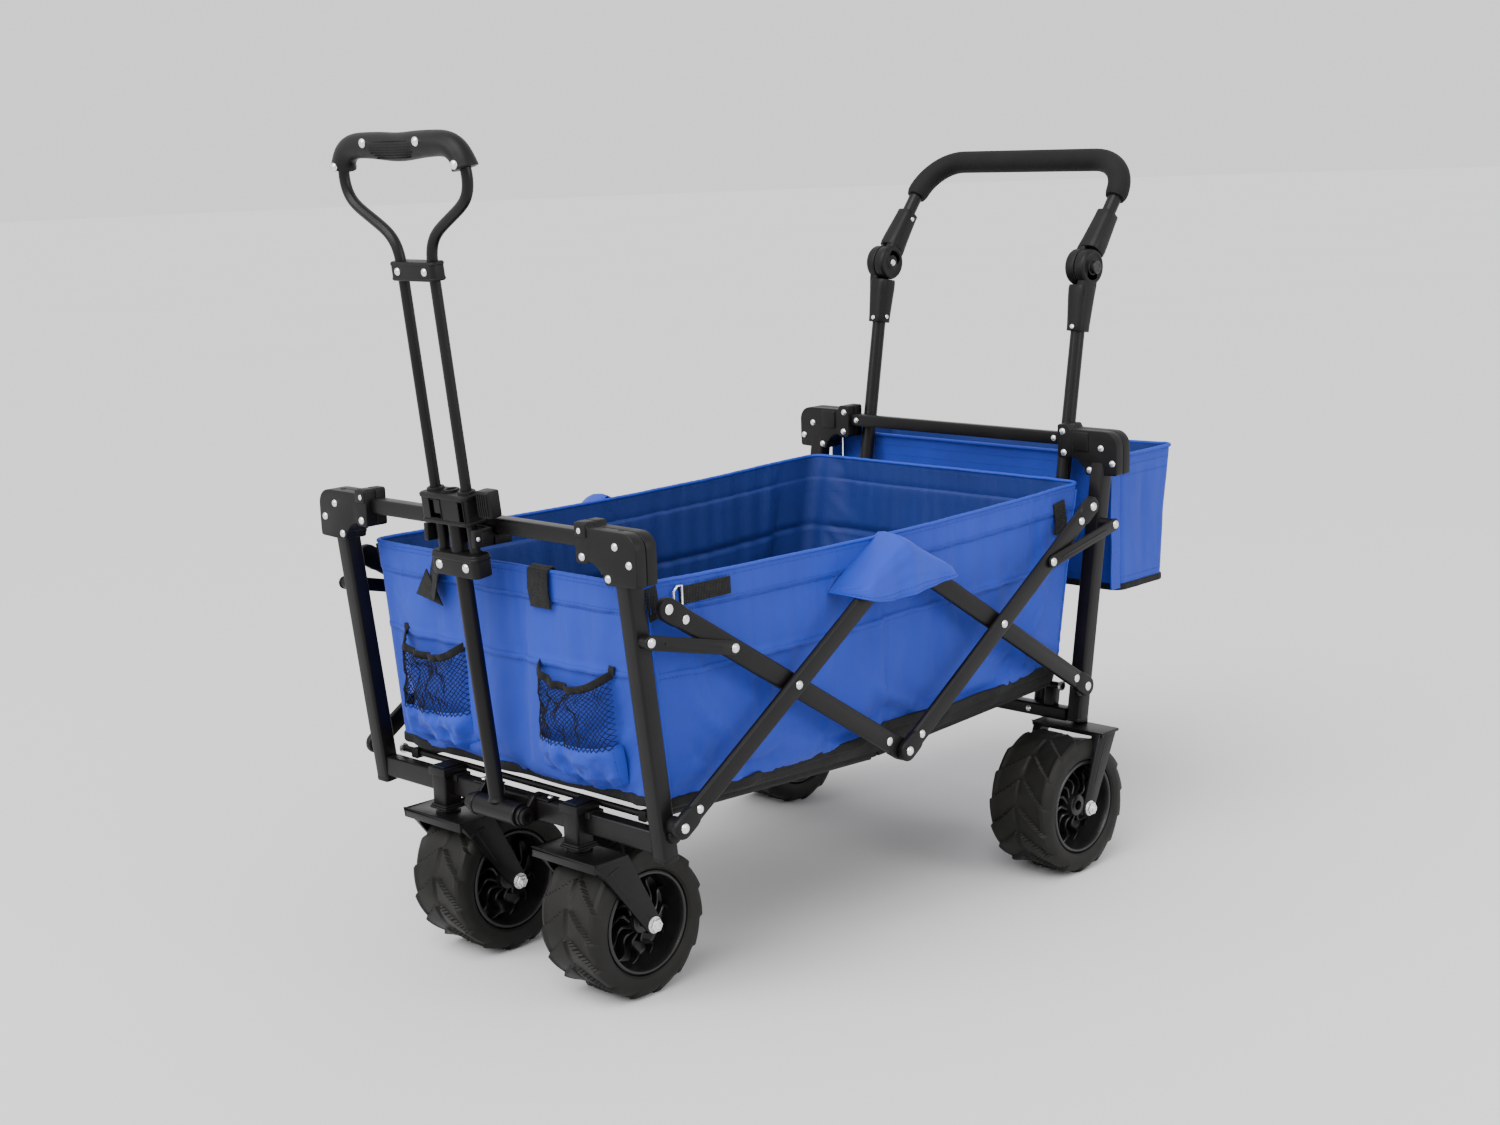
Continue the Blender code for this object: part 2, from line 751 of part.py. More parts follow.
def pocket(sign):
    """A cup pocket on the front wall: three thin walls and a floor, open on top."""
    thin = 0.003
    low_z, high_z = POCKET_Z
    low_y, high_y = on_side(sign, *POCKET_Y)
    back = front_wall_at((low_z + high_z) / 2) + 0.002
    outer = block(world(back - POCKET_REACH, low_y, low_z), world(back, high_y, high_z))
    room = block(world(back - POCKET_REACH + thin, low_y + thin, low_z + thin),
                 world(back - 0.0045, high_y - thin, high_z + 0.01))
    return cut(outer, room)


def basket():
    low, high = BASKET_Z
    box = open_box((BASKET_FRONT, BASKET_REAR[0], BASKET_Y, low),
                   (BASKET_FRONT, BASKET_REAR[1], BASKET_Y, high), CLOTH, CLOTH)
    flanges = []
    for sign in (-1, 1):
        near, far = on_side(sign, BASKET_Y - CLOTH, BASKET_Y)
        flanges.append(block(world(BASKET_SIDE_FROM, near, low), world(BASKET_FRONT + 0.002, far, high)))
    put("basket", combine(box, flanges), cloth("basket"), world(BASKET_FRONT, 0, low))


# Pull handle


def pull_handle():
    foot = world(PULL_PIVOT[0], 0, PULL_PIVOT[1])
    lean = pivot("pull_handle_axis", foot, -PULL_LEAN)
    sleeve = cut(rod((0, -SLEEVE_HALF, 0), (0, SLEEVE_HALF, 0), SLEEVE_R, 14),
                 rod((0, -0.06, 0), (0, 0.06, 0), 0.0062, 12))
    stem = rod((0, 0, SLEEVE_R - 0.002), (0, 0, COLLAR[1] - 0.008), CENTRE_R, 12)
    put("pull_tube", combine(sleeve, [stem]), frame_paint("pull_tube"), parent=lean, smooth=True)
    loop_blocks(lean)
    loop_and_grip(lean)


def twin_rooms():
    """Holes for the loop's two legs."""
    rooms = []
    for sign in (-1, 1):
        across = sign * TWIN_Y
        rooms.append(rod((0, across, 0.2), (0, across, 0.8), TWIN_R + 0.0004, 12))
    return rooms


def loop_blocks(lean):
    """The collar on the centre tube, its side latch, and the two clamps on the loop's legs."""
    half = TWIN_Y + TWIN_R + 0.0065
    collar = block((-0.016, -half, COLLAR[0]), (0.0145, half, COLLAR[1]))
    stem_room = rod((0, 0, 0.1), (0, 0, COLLAR[1] - 0.0075), CENTRE_R + GAP, 12)
    collar = cut(collar, stem_room, *twin_rooms())
    put("pull_collar", collar, plastic("pull_collar"), (0, 0, COLLAR[0]), lean)
    low = block((-0.013, -half, LOW_CLAMP[0]), (0.013, half, LOW_CLAMP[1]))
    slide_room = rod((0, 0, 0.2), (0, 0, 0.4), CENTRE_R + 0.0006, 12)
    low = cut(low, slide_room, *twin_rooms())
    put("loop_clamp_lower", low, plastic("loop_clamp_lower"), (0, 0, LOW_CLAMP[0]), lean)
    top = block((-0.0095, -half + 0.002, TOP_CLAMP[0]), (0.0095, half - 0.002, TOP_CLAMP[1]))
    top = cut(top, *twin_rooms())
    put("loop_clamp_upper", top, plastic("loop_clamp_upper"), (0, 0, TOP_CLAMP[0]), lean)
    latch_low, latch_high = COLLAR[0] + 0.010, COLLAR[1] + 0.004
    latch = block((-0.002, -half - 0.028, latch_low), (0.018, -half - 0.0046, latch_high))
    put("collar_latch", latch, plastic("collar_latch"), (0.008, -half - 0.0046, latch_low), lean)


def loop_path():
    wide, bulge = LOOP_WIDE
    corners_of_loop = [
        (0, -TWIN_Y, LOW_CLAMP[0]), (0, -TWIN_Y, LOOP_NECK), (0, -wide, bulge), (0, -wide, LOOP_TOP),
        (0, wide, LOOP_TOP), (0, wide, bulge), (0, TWIN_Y, LOOP_NECK), (0, TWIN_Y, LOW_CLAMP[0]),
    ]
    return rounded(corners_of_loop, (0.035, 0.028, 0.030, 0.030, 0.028, 0.035))


def loop_and_grip(parent):
    path = loop_path()
    put("pull_loop", swept(path, TWIN_R, 10), frame_paint("pull_loop"), (0, 0, LOW_CLAMP[0]),
        parent, smooth=True)
    top = [place for place in path if place.z > GRIP_FROM]
    ends = [Vector((0, top[0].y, GRIP_FROM)), Vector((0, top[-1].y, GRIP_FROM))]
    grip = swept([ends[0], *top, ends[1]], GRIP_R, 10, TWIN_R + 0.0006)
    put("pull_grip", grip, rubber("pull_grip"), (0, 0, GRIP_FROM), parent, smooth=True)


# Push handle


def push_frame():
    """The two uprights behind the rear frame, with the lower halves of the tilt joints."""
    for side, sign in sides():
        axis = world(TILT[0], sign * PUSH_Y, TILT[1])
        down = Vector((-math.sin(PUSH_LEAN), 0, -math.cos(PUSH_LEAN)))
        foot_reach = (TILT[1] - 0.186) / math.cos(PUSH_LEAN)
        tube = rod(axis + down * foot_reach, axis + down * 0.033, PUSH_R, 12)
        put("push_tube_" + side, tube, frame_paint("push_tube_" + side), axis, smooth=True)
        base = tilt_half(axis, down, sign, 1)
        button_room = rod(axis + Vector((0, sign * 0.009, 0)), axis + Vector((0, sign * 0.03, 0)),
                          0.0095, 12)
        name = "tilt_base_" + side
        put(name, cut(base, button_room), plastic(name), axis)
        button = rod(axis + Vector((0, sign * 0.0145, 0)), axis + Vector((0, sign * 0.0245, 0)),
                     0.0085, 12)
        name = "tilt_button_" + side
        put(name, button, plastic(name), axis + Vector((0, sign * 0.0145, 0)))


def tilt_half(axis, way, sign, layer):
    """A round cheek on one side of the joint, and a socket for its tube. Layer 1 is outside."""
    low, high = on_side(sign * layer, 0.0006, 0.0155)
    cheek = rod(axis + Vector((0, low, 0)), axis + Vector((0, high, 0)), TILT_DISC_R, 16)
    sleeve = rod(axis + way * 0.0265, axis + way * 0.086, HOUSING_R, 12)
    neck = solid_bar(axis + way * 0.004, axis + way * 0.040, 0.021)
    keep_low, keep_high = on_side(sign * layer, 0.0006, 0.0145)
    for vert in neck.verts:
        vert.co.y = axis.y + (keep_low if vert.co.y < axis.y else keep_high)
    room = rod(axis + way * 0.0325, axis + way * 0.10, PUSH_R + 0.0007, 12)
    return cut(combine(cheek, [sleeve, neck]), room)


def push_handle():
    way = Vector((math.sin(HANDLE_LEAN), 0, math.cos(HANDLE_LEAN)))
    middle = world(TILT[0], 0, TILT[1])
    for side, sign in sides():
        axis = world(TILT[0], sign * PUSH_Y, TILT[1])
        name = "tilt_head_" + side
        put(name, tilt_half(axis, way, sign, -1), plastic(name), axis)
    corner = middle + way * HANDLE_REACH
    low, high = middle + way * 0.033, corner
    arm = Vector((0, PUSH_Y, 0))
    points = [low - arm, high - arm, high + arm, low + arm]
    path = rounded(points, (HANDLE_CORNER, HANDLE_CORNER), 5)
    put("push_bar", swept(path, PUSH_R, 10), frame_paint("push_bar"), middle, smooth=True)
    start = middle + way * 0.113
    top = [start - arm, *path[1:-1], start + arm]
    foam = swept(top, FOAM_R, 12, PUSH_R + 0.0006)
    put("push_foam", foam, rubber("push_foam"), middle, smooth=True)


def build():
    clear_scene()
    posts()
    front_lower_bar()
    cross_bar("front_top_bar", FRONT_BAR_TOP, (FRONT_BAR_SIZE, FRONT_BAR_SIZE), TOP_BAR_HALF)
    cross_bar("rear_top_bar", REAR_BAR_TOP, REAR_BAR_SIZE, TOP_BAR_HALF)
    cross_bar("rear_lower_bar", REAR_LOW, REAR_LOW_SIZE, POST_Y - POST / 2 - GAP)
    corners()
    handle_dock()
    casters()
    rear_wheels()
    scissor_bars()
    links()
    floor()
    tub_walls()
    basket()
    pull_handle()
    push_frame()
    push_handle()


build()
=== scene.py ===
"""The looks of the folding beach cart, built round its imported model.

Places along the cart are counted from the front scissor pivot, as at() gives them. Lengths are
metres, X runs from the pull handle to the push handle and +Z is up.
"""
import json
import math

import bmesh
import bpy
from mathutils import Matrix, Vector, noise


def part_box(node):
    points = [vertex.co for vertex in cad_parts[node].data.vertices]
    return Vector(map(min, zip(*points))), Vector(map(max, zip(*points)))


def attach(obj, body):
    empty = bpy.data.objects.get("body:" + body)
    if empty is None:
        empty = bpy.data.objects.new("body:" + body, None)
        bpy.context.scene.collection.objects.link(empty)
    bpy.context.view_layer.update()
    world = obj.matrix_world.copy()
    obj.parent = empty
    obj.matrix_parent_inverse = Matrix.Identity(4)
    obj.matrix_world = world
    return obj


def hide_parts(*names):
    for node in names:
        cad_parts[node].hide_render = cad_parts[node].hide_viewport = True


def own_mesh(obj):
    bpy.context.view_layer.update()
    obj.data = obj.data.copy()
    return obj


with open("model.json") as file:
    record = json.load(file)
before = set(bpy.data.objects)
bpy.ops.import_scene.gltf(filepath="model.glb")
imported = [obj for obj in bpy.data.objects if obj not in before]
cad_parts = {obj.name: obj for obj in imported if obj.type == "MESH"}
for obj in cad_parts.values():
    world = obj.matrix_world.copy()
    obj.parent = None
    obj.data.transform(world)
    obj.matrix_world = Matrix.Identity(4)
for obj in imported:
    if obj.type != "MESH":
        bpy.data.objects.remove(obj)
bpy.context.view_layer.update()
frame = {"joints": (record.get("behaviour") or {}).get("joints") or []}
JOINTS = {joint["name"]: joint for joint in frame["joints"]}
START = JOINTS["fold"]["pos_m"][0]
SIDES = (("left", -1), ("right", 1))


def at(along, across, up):
    return Vector((along + START, across, up))


def joint_place(name):
    return Vector(JOINTS[name]["pos_m"])


# Materials


class Paint:
    """A procedural material with its shader, and nodes in object space."""

    def __init__(self, name, colour, roughness, **sockets):
        self.material = bpy.data.materials.new(name)
        self.material.use_nodes = True
        self.tree = self.material.node_tree
        self.shader = self.tree.nodes["Principled BSDF"]
        self.set(self.shader, "Base Color", (*colour, 1.0))
        self.set(self.shader, "Roughness", roughness)
        for key, value in sockets.items():
            self.set(self.shader, key.replace("_", " "), value)
        self.material.diffuse_color = (*colour, 1.0)
        self.place = self.tree.nodes.new("ShaderNodeTexCoord").outputs["Object"]
        self.normal = None

    def set(self, node, socket, value):
        node.inputs[socket].default_value = value

    def use_uv(self):
        self.place = self.tree.nodes.new("ShaderNodeTexCoord").outputs["UV"]

    def node(self, kind, **values):
        made = self.tree.nodes.new("ShaderNode" + kind)
        for key, value in values.items():
            if key in made.inputs:
                made.inputs[key].default_value = value
            else:
                setattr(made, key, value)
        return made

    def join(self, output, target):
        self.tree.links.new(output, target)

    def noise(self, scale, detail=3.0, place=None):
        made = self.node("TexNoise", Scale=scale, Detail=detail)
        self.join(place or self.place, made.inputs["Vector"])
        return made.outputs["Fac"]

    def ramp(self, value, low, high, low_at=0.3, high_at=0.7):
        made = self.node("ValToRGB")
        stops = made.color_ramp.elements
        stops[0].position, stops[0].color = low_at, (*low, 1.0)
        stops[1].position, stops[1].color = high_at, (*high, 1.0)
        self.join(value, made.inputs["Fac"])
        return made.outputs["Color"]

    def range(self, value, low, high):
        made = self.node("MapRange")
        made.inputs["To Min"].default_value = low
        made.inputs["To Max"].default_value = high
        self.join(value, made.inputs["Value"])
        return made.outputs["Result"]

    def mottle(self, scale, low, high, detail=4.0, low_at=0.3, high_at=0.7):
        """Let the colour drift between two shades."""
        colour = self.ramp(self.noise(scale, detail), low, high, low_at, high_at)
        self.join(colour, self.shader.inputs["Base Color"])
        return colour

    def polish(self, scale, low, high):
        """Let the roughness drift between two values."""
        self.join(self.range(self.noise(scale), low, high), self.shader.inputs["Roughness"])

    def bump(self, height, distance, strength=1.0):
        made = self.node("Bump", Strength=strength, Distance=distance)
        self.join(height, made.inputs["Height"])
        if self.normal is not None:
            self.join(self.normal, made.inputs["Normal"])
        self.normal = made.outputs["Normal"]
        self.join(self.normal, self.shader.inputs["Normal"])

    def bands(self, pitch, axis, place=None):
        """Parallel threads or ribs, one every pitch, across an axis."""
        made = self.node("TexWave", bands_direction=axis, wave_profile="SIN")
        made.inputs["Scale"].default_value = math.tau / 20 / pitch
        self.join(place or self.place, made.inputs["Vector"])
        return made.outputs["Fac"]

    def mix(self, kind, one, other):
        made = self.node("Math", operation=kind)
        self.join(one, made.inputs[0])
        if isinstance(other, (int, float)):
            made.inputs[1].default_value = other
        else:
            self.join(other, made.inputs[1])
        return made.outputs[0]


def powder_coat():
    """Satin black paint with a little orange peel."""
    made = Paint("powder_coat", (0.0045, 0.0038, 0.0041), 0.33, Specular_IOR_Level=0.20)
    made.mottle(14, (0.0034, 0.0029, 0.0031), (0.0062, 0.0053, 0.0056))
    made.polish(40, 0.30, 0.44)
    made.bump(made.noise(420, 2), 0.00012)
    made.bump(made.noise(30, 2), 0.0004, 0.35)
    return made.material


def moulded_plastic():
    """Black nylon with a fine spark finish."""
    made = Paint("moulded_plastic", (0.0040, 0.0039, 0.0040), 0.38, Specular_IOR_Level=0.19)
    made.mottle(25, (0.0031, 0.0030, 0.0031), (0.0056, 0.0055, 0.0056))
    made.polish(60, 0.38, 0.52)
    made.bump(made.noise(900, 2), 0.00014)
    return made.material


def hub_plastic():
    made = Paint("hub_plastic", (0.0075, 0.0075, 0.0078), 0.36, Specular_IOR_Level=0.45)
    made.mottle(30, (0.0060, 0.0060, 0.0062), (0.0095, 0.0095, 0.0098))
    made.bump(made.noise(240, 2), 0.00008)
    return made.material


def tyre_rubber():
    made = Paint("tyre_rubber", (0.0075, 0.0074, 0.0064), 0.50, Specular_IOR_Level=0.20)
    made.mottle(22, (0.0055, 0.0054, 0.0046), (0.0110, 0.0108, 0.0092), 6.0)
    made.polish(35, 0.46, 0.66)
    made.bump(made.noise(700, 4), 0.00018)
    made.bump(made.noise(60, 2), 0.0005, 0.4)
    return made.material


def foam_rubber():
    """Closed-cell foam sleeve with tiny pits."""
    made = Paint("foam_rubber", (0.0050, 0.0050, 0.0050), 0.72, Specular_IOR_Level=0.18)
    made.mottle(18, (0.0040, 0.0040, 0.0040), (0.0075, 0.0075, 0.0073))
    made.bump(made.noise(1100, 3), 0.0003)
    return made.material


def zinc():
    made = Paint("zinc_plate", (0.82, 0.82, 0.84), 0.26, Metallic=0.85)
    made.mottle(300, (0.70, 0.70, 0.72), (0.90, 0.90, 0.91))
    made.polish(200, 0.2, 0.36)
    made.bump(made.noise(500, 2), 0.00008)
    return made.material


def polyester(name, low, high, thread=0.0011, sheen=0.06, roughness=0.66):
    """Coated plain-weave cloth, on UVs in metres."""
    made = Paint(name, high, roughness, Sheen_Weight=sheen, Sheen_Roughness=0.45, Specular_IOR_Level=0.3)
    made.mottle(9, low, high, 5.0, 0.25, 0.75)
    made.use_uv()
    warp, weft = made.bands(thread, "X"), made.bands(thread, "Y")
    made.bump(made.mix("MULTIPLY", warp, weft), 0.00022, 0.9)
    made.bump(made.noise(90, 4), 0.0006, 0.35)
    return made.material


def webbing():
    """Black woven strap with ribs across its width."""
    made = Paint("webbing", (0.0065, 0.0065, 0.0065), 0.8, Sheen_Weight=0.04, Specular_IOR_Level=0.2)
    made.mottle(120, (0.004, 0.004, 0.004), (0.012, 0.012, 0.012))
    ribs = made.mix("ADD", made.bands(0.0022, "X"), made.bands(0.0022, "Y"))
    made.bump(made.mix("ADD", ribs, made.bands(0.0022, "Z")), 0.0005)
    return made.material


def binding():
    """Black hem tape."""
    made = Paint("hem_tape", (0.0055, 0.0055, 0.0060), 0.75, Sheen_Weight=0.03, Specular_IOR_Level=0.2)
    made.mottle(200, (0.0040, 0.0040, 0.0044), (0.0095, 0.0095, 0.0100))
    made.bump(made.noise(650, 3), 0.0004)
    return made.material


def thread(name, low, high, shine=0.3):
    made = Paint(name, high, 0.6, Specular_IOR_Level=shine)
    made.mottle(500, low, high)
    made.bump(made.noise(1800, 2), 0.0001)
    return made.material


COAT, PLASTIC, HUB = powder_coat(), moulded_plastic(), hub_plastic()
TYRE, FOAM, ZINC = tyre_rubber(), foam_rubber(), zinc()
# Near-black and glossless: painted shade for the deep insides of the catch's windows.
RECESS_SHADE = thread("dark_recess", (0.0004, 0.0004, 0.0004), (0.0008, 0.0008, 0.0008), 0.0)
CLOTH = polyester("blue_polyester", (0.0080, 0.0320, 0.305), (0.0120, 0.0430, 0.40))
# Back of the cloth: a darker blue for its coated side, darkened further as painted shade for the tub's shaded
# inside.
LINING_WITH_SHADE = polyester("blue_lining", (0.0036, 0.0150, 0.118), (0.0055, 0.0220, 0.165), 0.0014, 0.03, 0.55)
CLOTH_PLAIN = thread("blue_edging", (0.0080, 0.0320, 0.305), (0.0120, 0.0430, 0.40))
WEBBING, TAPE = webbing(), binding()
STITCH = thread("blue_thread", (0.0050, 0.0180, 0.14), (0.0090, 0.0320, 0.23))
DARK_THREAD = thread("black_thread", (0.0045, 0.0045, 0.0050), (0.0090, 0.0090, 0.0095), 0.15)


# Shapes


def finish_piece(name, shape, material, body, replaces=(), bevel=0.0, segments=2, smooth=40):
    """Turn a bmesh into a piece that rides on a body, with its edges softened."""
    bmesh.ops.remove_doubles(shape, verts=shape.verts, dist=0.00002)
    bmesh.ops.recalc_face_normals(shape, faces=shape.faces)
    mesh = bpy.data.meshes.new(name)
    shape.to_mesh(mesh)
    shape.free()
    made = bpy.data.objects.new(name, mesh)
    bpy.context.scene.collection.objects.link(made)
    for one in material if isinstance(material, tuple) else (material,):
        mesh.materials.append(one)
    if bevel:
        soft = made.modifiers.new("soft_edges", "BEVEL")
        soft.width, soft.segments = bevel, segments
        soft.limit_method, soft.angle_limit = "ANGLE", math.radians(32)
        soft.use_clamp_overlap = True
        apply_modifiers(made)
    made.data.shade_smooth()
    made.data.set_sharp_from_angle(angle=math.radians(smooth))
    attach(made, body)
    if replaces:
        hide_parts(*replaces)
    return made


def apply_modifiers(piece):
    ready = piece.evaluated_get(bpy.context.evaluated_depsgraph_get())
    mesh = bpy.data.meshes.new_from_object(ready)
    old = piece.data
    piece.modifiers.clear()
    piece.data = mesh
    mesh.name = piece.name
    if not old.users:
        bpy.data.meshes.remove(old)


def bridge(shape, ring, other, closed=True):
    count = len(ring)
    for n in range(count if closed else count - 1):
        after = (n + 1) % count
        shape.faces.new((ring[n], ring[after], other[after], other[n]))


def prism(shape, outline, start, end, axis):
    """An outline, in the two other axes in X, Y, Z order, pushed along an axis."""
    rings = []
    for along in (start, end):
        ring = []
        for a, b in outline:
            place = [a, b]
            place.insert("XYZ".index(axis), along)
            ring.append(shape.verts.new(place))
        rings.append(ring)
    shape.faces.new(rings[0])
    shape.faces.new(list(reversed(rings[1])))
    bridge(shape, *rings)


def block(shape, low, high):
    outline = [(low[0], low[1]), (high[0], low[1]), (high[0], high[1]), (low[0], high[1])]
    prism(shape, outline, low[2], high[2], "Z")


def arc(centre, radius, start, end, steps):
    points = []
    for n in range(steps + 1):
        angle = math.radians(start + (end - start) * n / steps)
        points.append((centre[0] + radius * math.cos(angle), centre[1] + radius * math.sin(angle)))
    return points


def round_outline(radius, steps=20):
    return arc((0, 0), radius, 0, 360, steps)[:-1]


def soft_box(width, height, corner, steps=4):
    """The outline of a rectangle with round corners, about its middle."""
    points = []
    for a, b, start in ((1, 1, 0), (-1, 1, 90), (-1, -1, 180), (1, -1, 270)):
        middle = (a * (width / 2 - corner), b * (height / 2 - corner))
        points += arc(middle, corner, start, start + 90, steps)
    return points


def sweep(shape, path, outline, across=None, closed=False, caps=True, sizes=None):
    """Carry an outline along a path. Its first axis starts out along across."""
    rings = []
    first = (path[1] - path[0]).normalized()
    if across is None:
        across = Vector((0, 1, 0)) if abs(first.y) < 0.9 else Vector((0, 0, 1))
    count = len(path)
    normal = across
    for n, place in enumerate(path):
        if closed:
            ahead = path[(n + 1) % count] - path[n - 1]
        else:
            ahead = path[min(n + 1, count - 1)] - path[max(n - 1, 0)]
        ahead = ahead.normalized()
        normal = (normal - ahead * normal.dot(ahead)).normalized()
        side = ahead.cross(normal)
        size = sizes[n] if sizes else 1.0
        rings.append([shape.verts.new(place + (normal * u + side * v) * size) for u, v in outline])
    for n in range(count - 1):
        bridge(shape, rings[n], rings[n + 1])
    if closed:
        bridge(shape, rings[-1], rings[0])
    elif caps:
        shape.faces.new(rings[0])
        shape.faces.new(list(reversed(rings[-1])))
    return rings


def turned(shape, profile, centre, axis, steps=32, closed=False):
    """A profile of (radius, offset along axis) turned about the axis through centre."""
    axis = Vector(axis).normalized()
    near = Vector((0, 0, 1)) if abs(axis.z) < 0.9 else Vector((1, 0, 0))
    u = near.cross(axis).normalized()
    v = axis.cross(u)
    rings = []
    for radius, offset in profile:
        middle = Vector(centre) + axis * offset
        if radius < 1e-6:
            rings.append([shape.verts.new(middle)])
            continue
        ring = []
        for n in range(steps):
            angle = math.tau * n / steps
            ring.append(shape.verts.new(middle + (u * math.cos(angle) + v * math.sin(angle)) * radius))
        rings.append(ring)
    pairs = list(zip(rings, rings[1:]))
    if closed:
        pairs.append((rings[-1], rings[0]))
    for ring, other in pairs:
        if len(ring) == 1 or len(other) == 1:
            tip, rim = (ring[0], other) if len(ring) == 1 else (other[0], ring)
            for n in range(steps):
                shape.faces.new((tip, rim[n], rim[(n + 1) % steps]))
        else:
            bridge(shape, ring, other)


def rounded(points, radii, steps=8):
    """A path through corner points, with each inner corner rounded to its radius."""
    path = [Vector(points[0])]
    for n in range(1, len(points) - 1):
        here = Vector(points[n])
        back = (Vector(points[n - 1]) - here).normalized()
        ahead = (Vector(points[n + 1]) - here).normalized()
        half = back.angle(ahead) / 2
        reach = radii[n - 1] / math.tan(half)
        centre = here + (back + ahead).normalized() * (radii[n - 1] / math.sin(half))
        first, last = here + back * reach - centre, here + ahead * reach - centre
        whole = first.angle(last)
        for k in range(steps + 1):
            share = k / steps
            spoke = first * math.sin((1 - share) * whole) + last * math.sin(share * whole)
            path.append(centre + spoke / math.sin(whole))
    path.append(Vector(points[-1]))
    return path


def even_path(points, pitch):
    """The same path with its points a set distance apart."""
    made = [points[0].copy()]
    left = pitch
    for start, end in zip(points, points[1:]):
        length = (end - start).length
        done = 0.0
        while length - done >= left:
            done += left
            made.append(start.lerp(end, done / length))
            left = pitch
        left -= length - done
    return made


# Rivets, nuts and bolts, gathered for each body

HARDWARE = {}


def hardware(body):
    if body not in HARDWARE:
        HARDWARE[body] = bmesh.new()
    return HARDWARE[body]


def rivet(body, place, way, radius=0.0048):
    """A domed rivet head that stands on a face."""
    profile = [(radius * 0.9, -0.0006), (radius, 0.0002), (radius * 0.97, radius * 0.16),
               (radius * 0.80, radius * 0.36), (radius * 0.5, radius * 0.5), (0, radius * 0.56)]
    turned(hardware(body), profile, place, way, 16)


def nut(body, place, way, radius=0.0085, height=0.006):
    """A hexagon nut on its washer, with the bolt's end through it."""
    shape = hardware(body)
    turned(shape, [(0, 0), (radius * 1.15, 0), (radius * 1.15, 0.0011), (0, 0.0011)], place, way, 20)
    turned(shape, [(0, 0.0011), (radius * 0.9, 0.0011), (radius, 0.0018), (radius, height - 0.001),
                   (radius * 0.88, height), (0, height)], place, way, 6)
    turned(shape, [(0, height - 0.001), (radius * 0.52, height - 0.001), (radius * 0.52, height + 0.0016),
                   (radius * 0.40, height + 0.0026), (0, height + 0.0026)], place, way, 14)


def place_hardware():
    for body, shape in sorted(HARDWARE.items()):
        finish_piece("rivets_and_nuts_" + body, shape, ZINC, body, smooth=35)


# Wheels


WHEEL_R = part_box("front_tyre_left")[1].z / 2
TYRE_HALF = 0.0475
LUGS = 15
LUG_HEIGHT = 0.0046


def lug_height(phase, reach):
    """How far a tread lug stands up: it climbs slowly, then drops at its edge."""
    phase %= 1.0
    if phase < 0.90:
        rise = 0.12 + 0.88 * (phase / 0.90) ** 1.15
    elif phase < 0.94:
        rise = 1.0
    else:
        rise = 0.06
    fade = max(0.0, min(1.0, (1.04 - reach) / 0.12))
    return rise * fade


def tyre_profile():
    """Half the section as (radius, offset, share of lug height), from the bead to the crown."""
    base = WHEEL_R - LUG_HEIGHT
    half = [
        (0.0615, 0.0400, 0), (0.0625, 0.0438, 0), (0.0650, 0.0462, 0), (0.0690, 0.0472, 0),
        (0.0740, 0.0472, 0), (0.0772, 0.0466, 0.35), (0.0802, 0.0452, 0.75), (0.0826, 0.0432, 1),
        (0.0842, 0.0408, 1), (0.0850, 0.0380, 1),
    ]
    crown = [(base - 0.0008 * (offset / 0.038) ** 2, offset, 1)
             for offset in (0.0345, 0.031, 0.027, 0.023, 0.019, 0.015, 0.011, 0.0075, 0.0045, 0.002)]
    return half + crown


def tyre_mesh():
    """A fat tyre with V-shaped paddle lugs, about the origin, with its axle along Y."""
    half = tyre_profile()
    rows = half + [(WHEEL_R - LUG_HEIGHT, 0.0, 1)] + [(r, -t, k) for r, t, k in reversed(half)]
    shape = bmesh.new()
    steps = LUGS * 26
    rings = []
    for radius, offset, share in rows:
        ring = []
        reach = abs(offset) / TYRE_HALF
        swing = 1.15 * reach ** 0.85
        for n in range(steps):
            angle = math.tau * n / steps
            phase = LUGS * n / steps + swing + 0.02
            tall = LUG_HEIGHT * share * lug_height(phase, reach)
            if reach < 0.05:
                tall *= 0.25
            r = radius + tall
            ring.append(shape.verts.new((r * math.sin(angle), offset, r * math.cos(angle))))
        rings.append(ring)
    for ring, other in zip(rings, rings[1:]):
        bridge(shape, ring, other)
    inner = [[shape.verts.new((0.0610 * math.sin(math.tau * n / steps), offset,
                               0.0610 * math.cos(math.tau * n / steps))) for n in range(steps)]
             for offset in (-0.0400, 0.0400)]
    bridge(shape, rings[-1], inner[0])
    bridge(shape, *inner)
    bridge(shape, inner[1], rings[0])
    return shape


def spoke(shape, turn, side):
    """One S-shaped rib on the wheel's dished disc."""
    steps = 14
    rings = []
    for n in range(steps + 1):
        share = n / steps
        radius = 0.0150 + 0.0390 * share
        angle = turn + 0.30 * math.sin(math.tau * share * 0.95) * (0.55 + 0.45 * (1 - share))
        thick = 0.0018 / radius
        top = 0.0290 - 0.0090 * share ** 1.5
        ring = []
        section = ((-1.25, 0.009), (-0.9, top - 0.001), (0, top), (0.9, top - 0.001), (1.25, 0.009))
        for spread, offset in section:
            place = angle + spread * thick
            ring.append(shape.verts.new((radius * math.sin(place), side * offset, radius * math.cos(place))))
        rings.append(ring)
    for ring, other in zip(rings, rings[1:]):
        bridge(shape, ring, other)
    shape.faces.new(rings[0])
    shape.faces.new(list(reversed(rings[-1])))


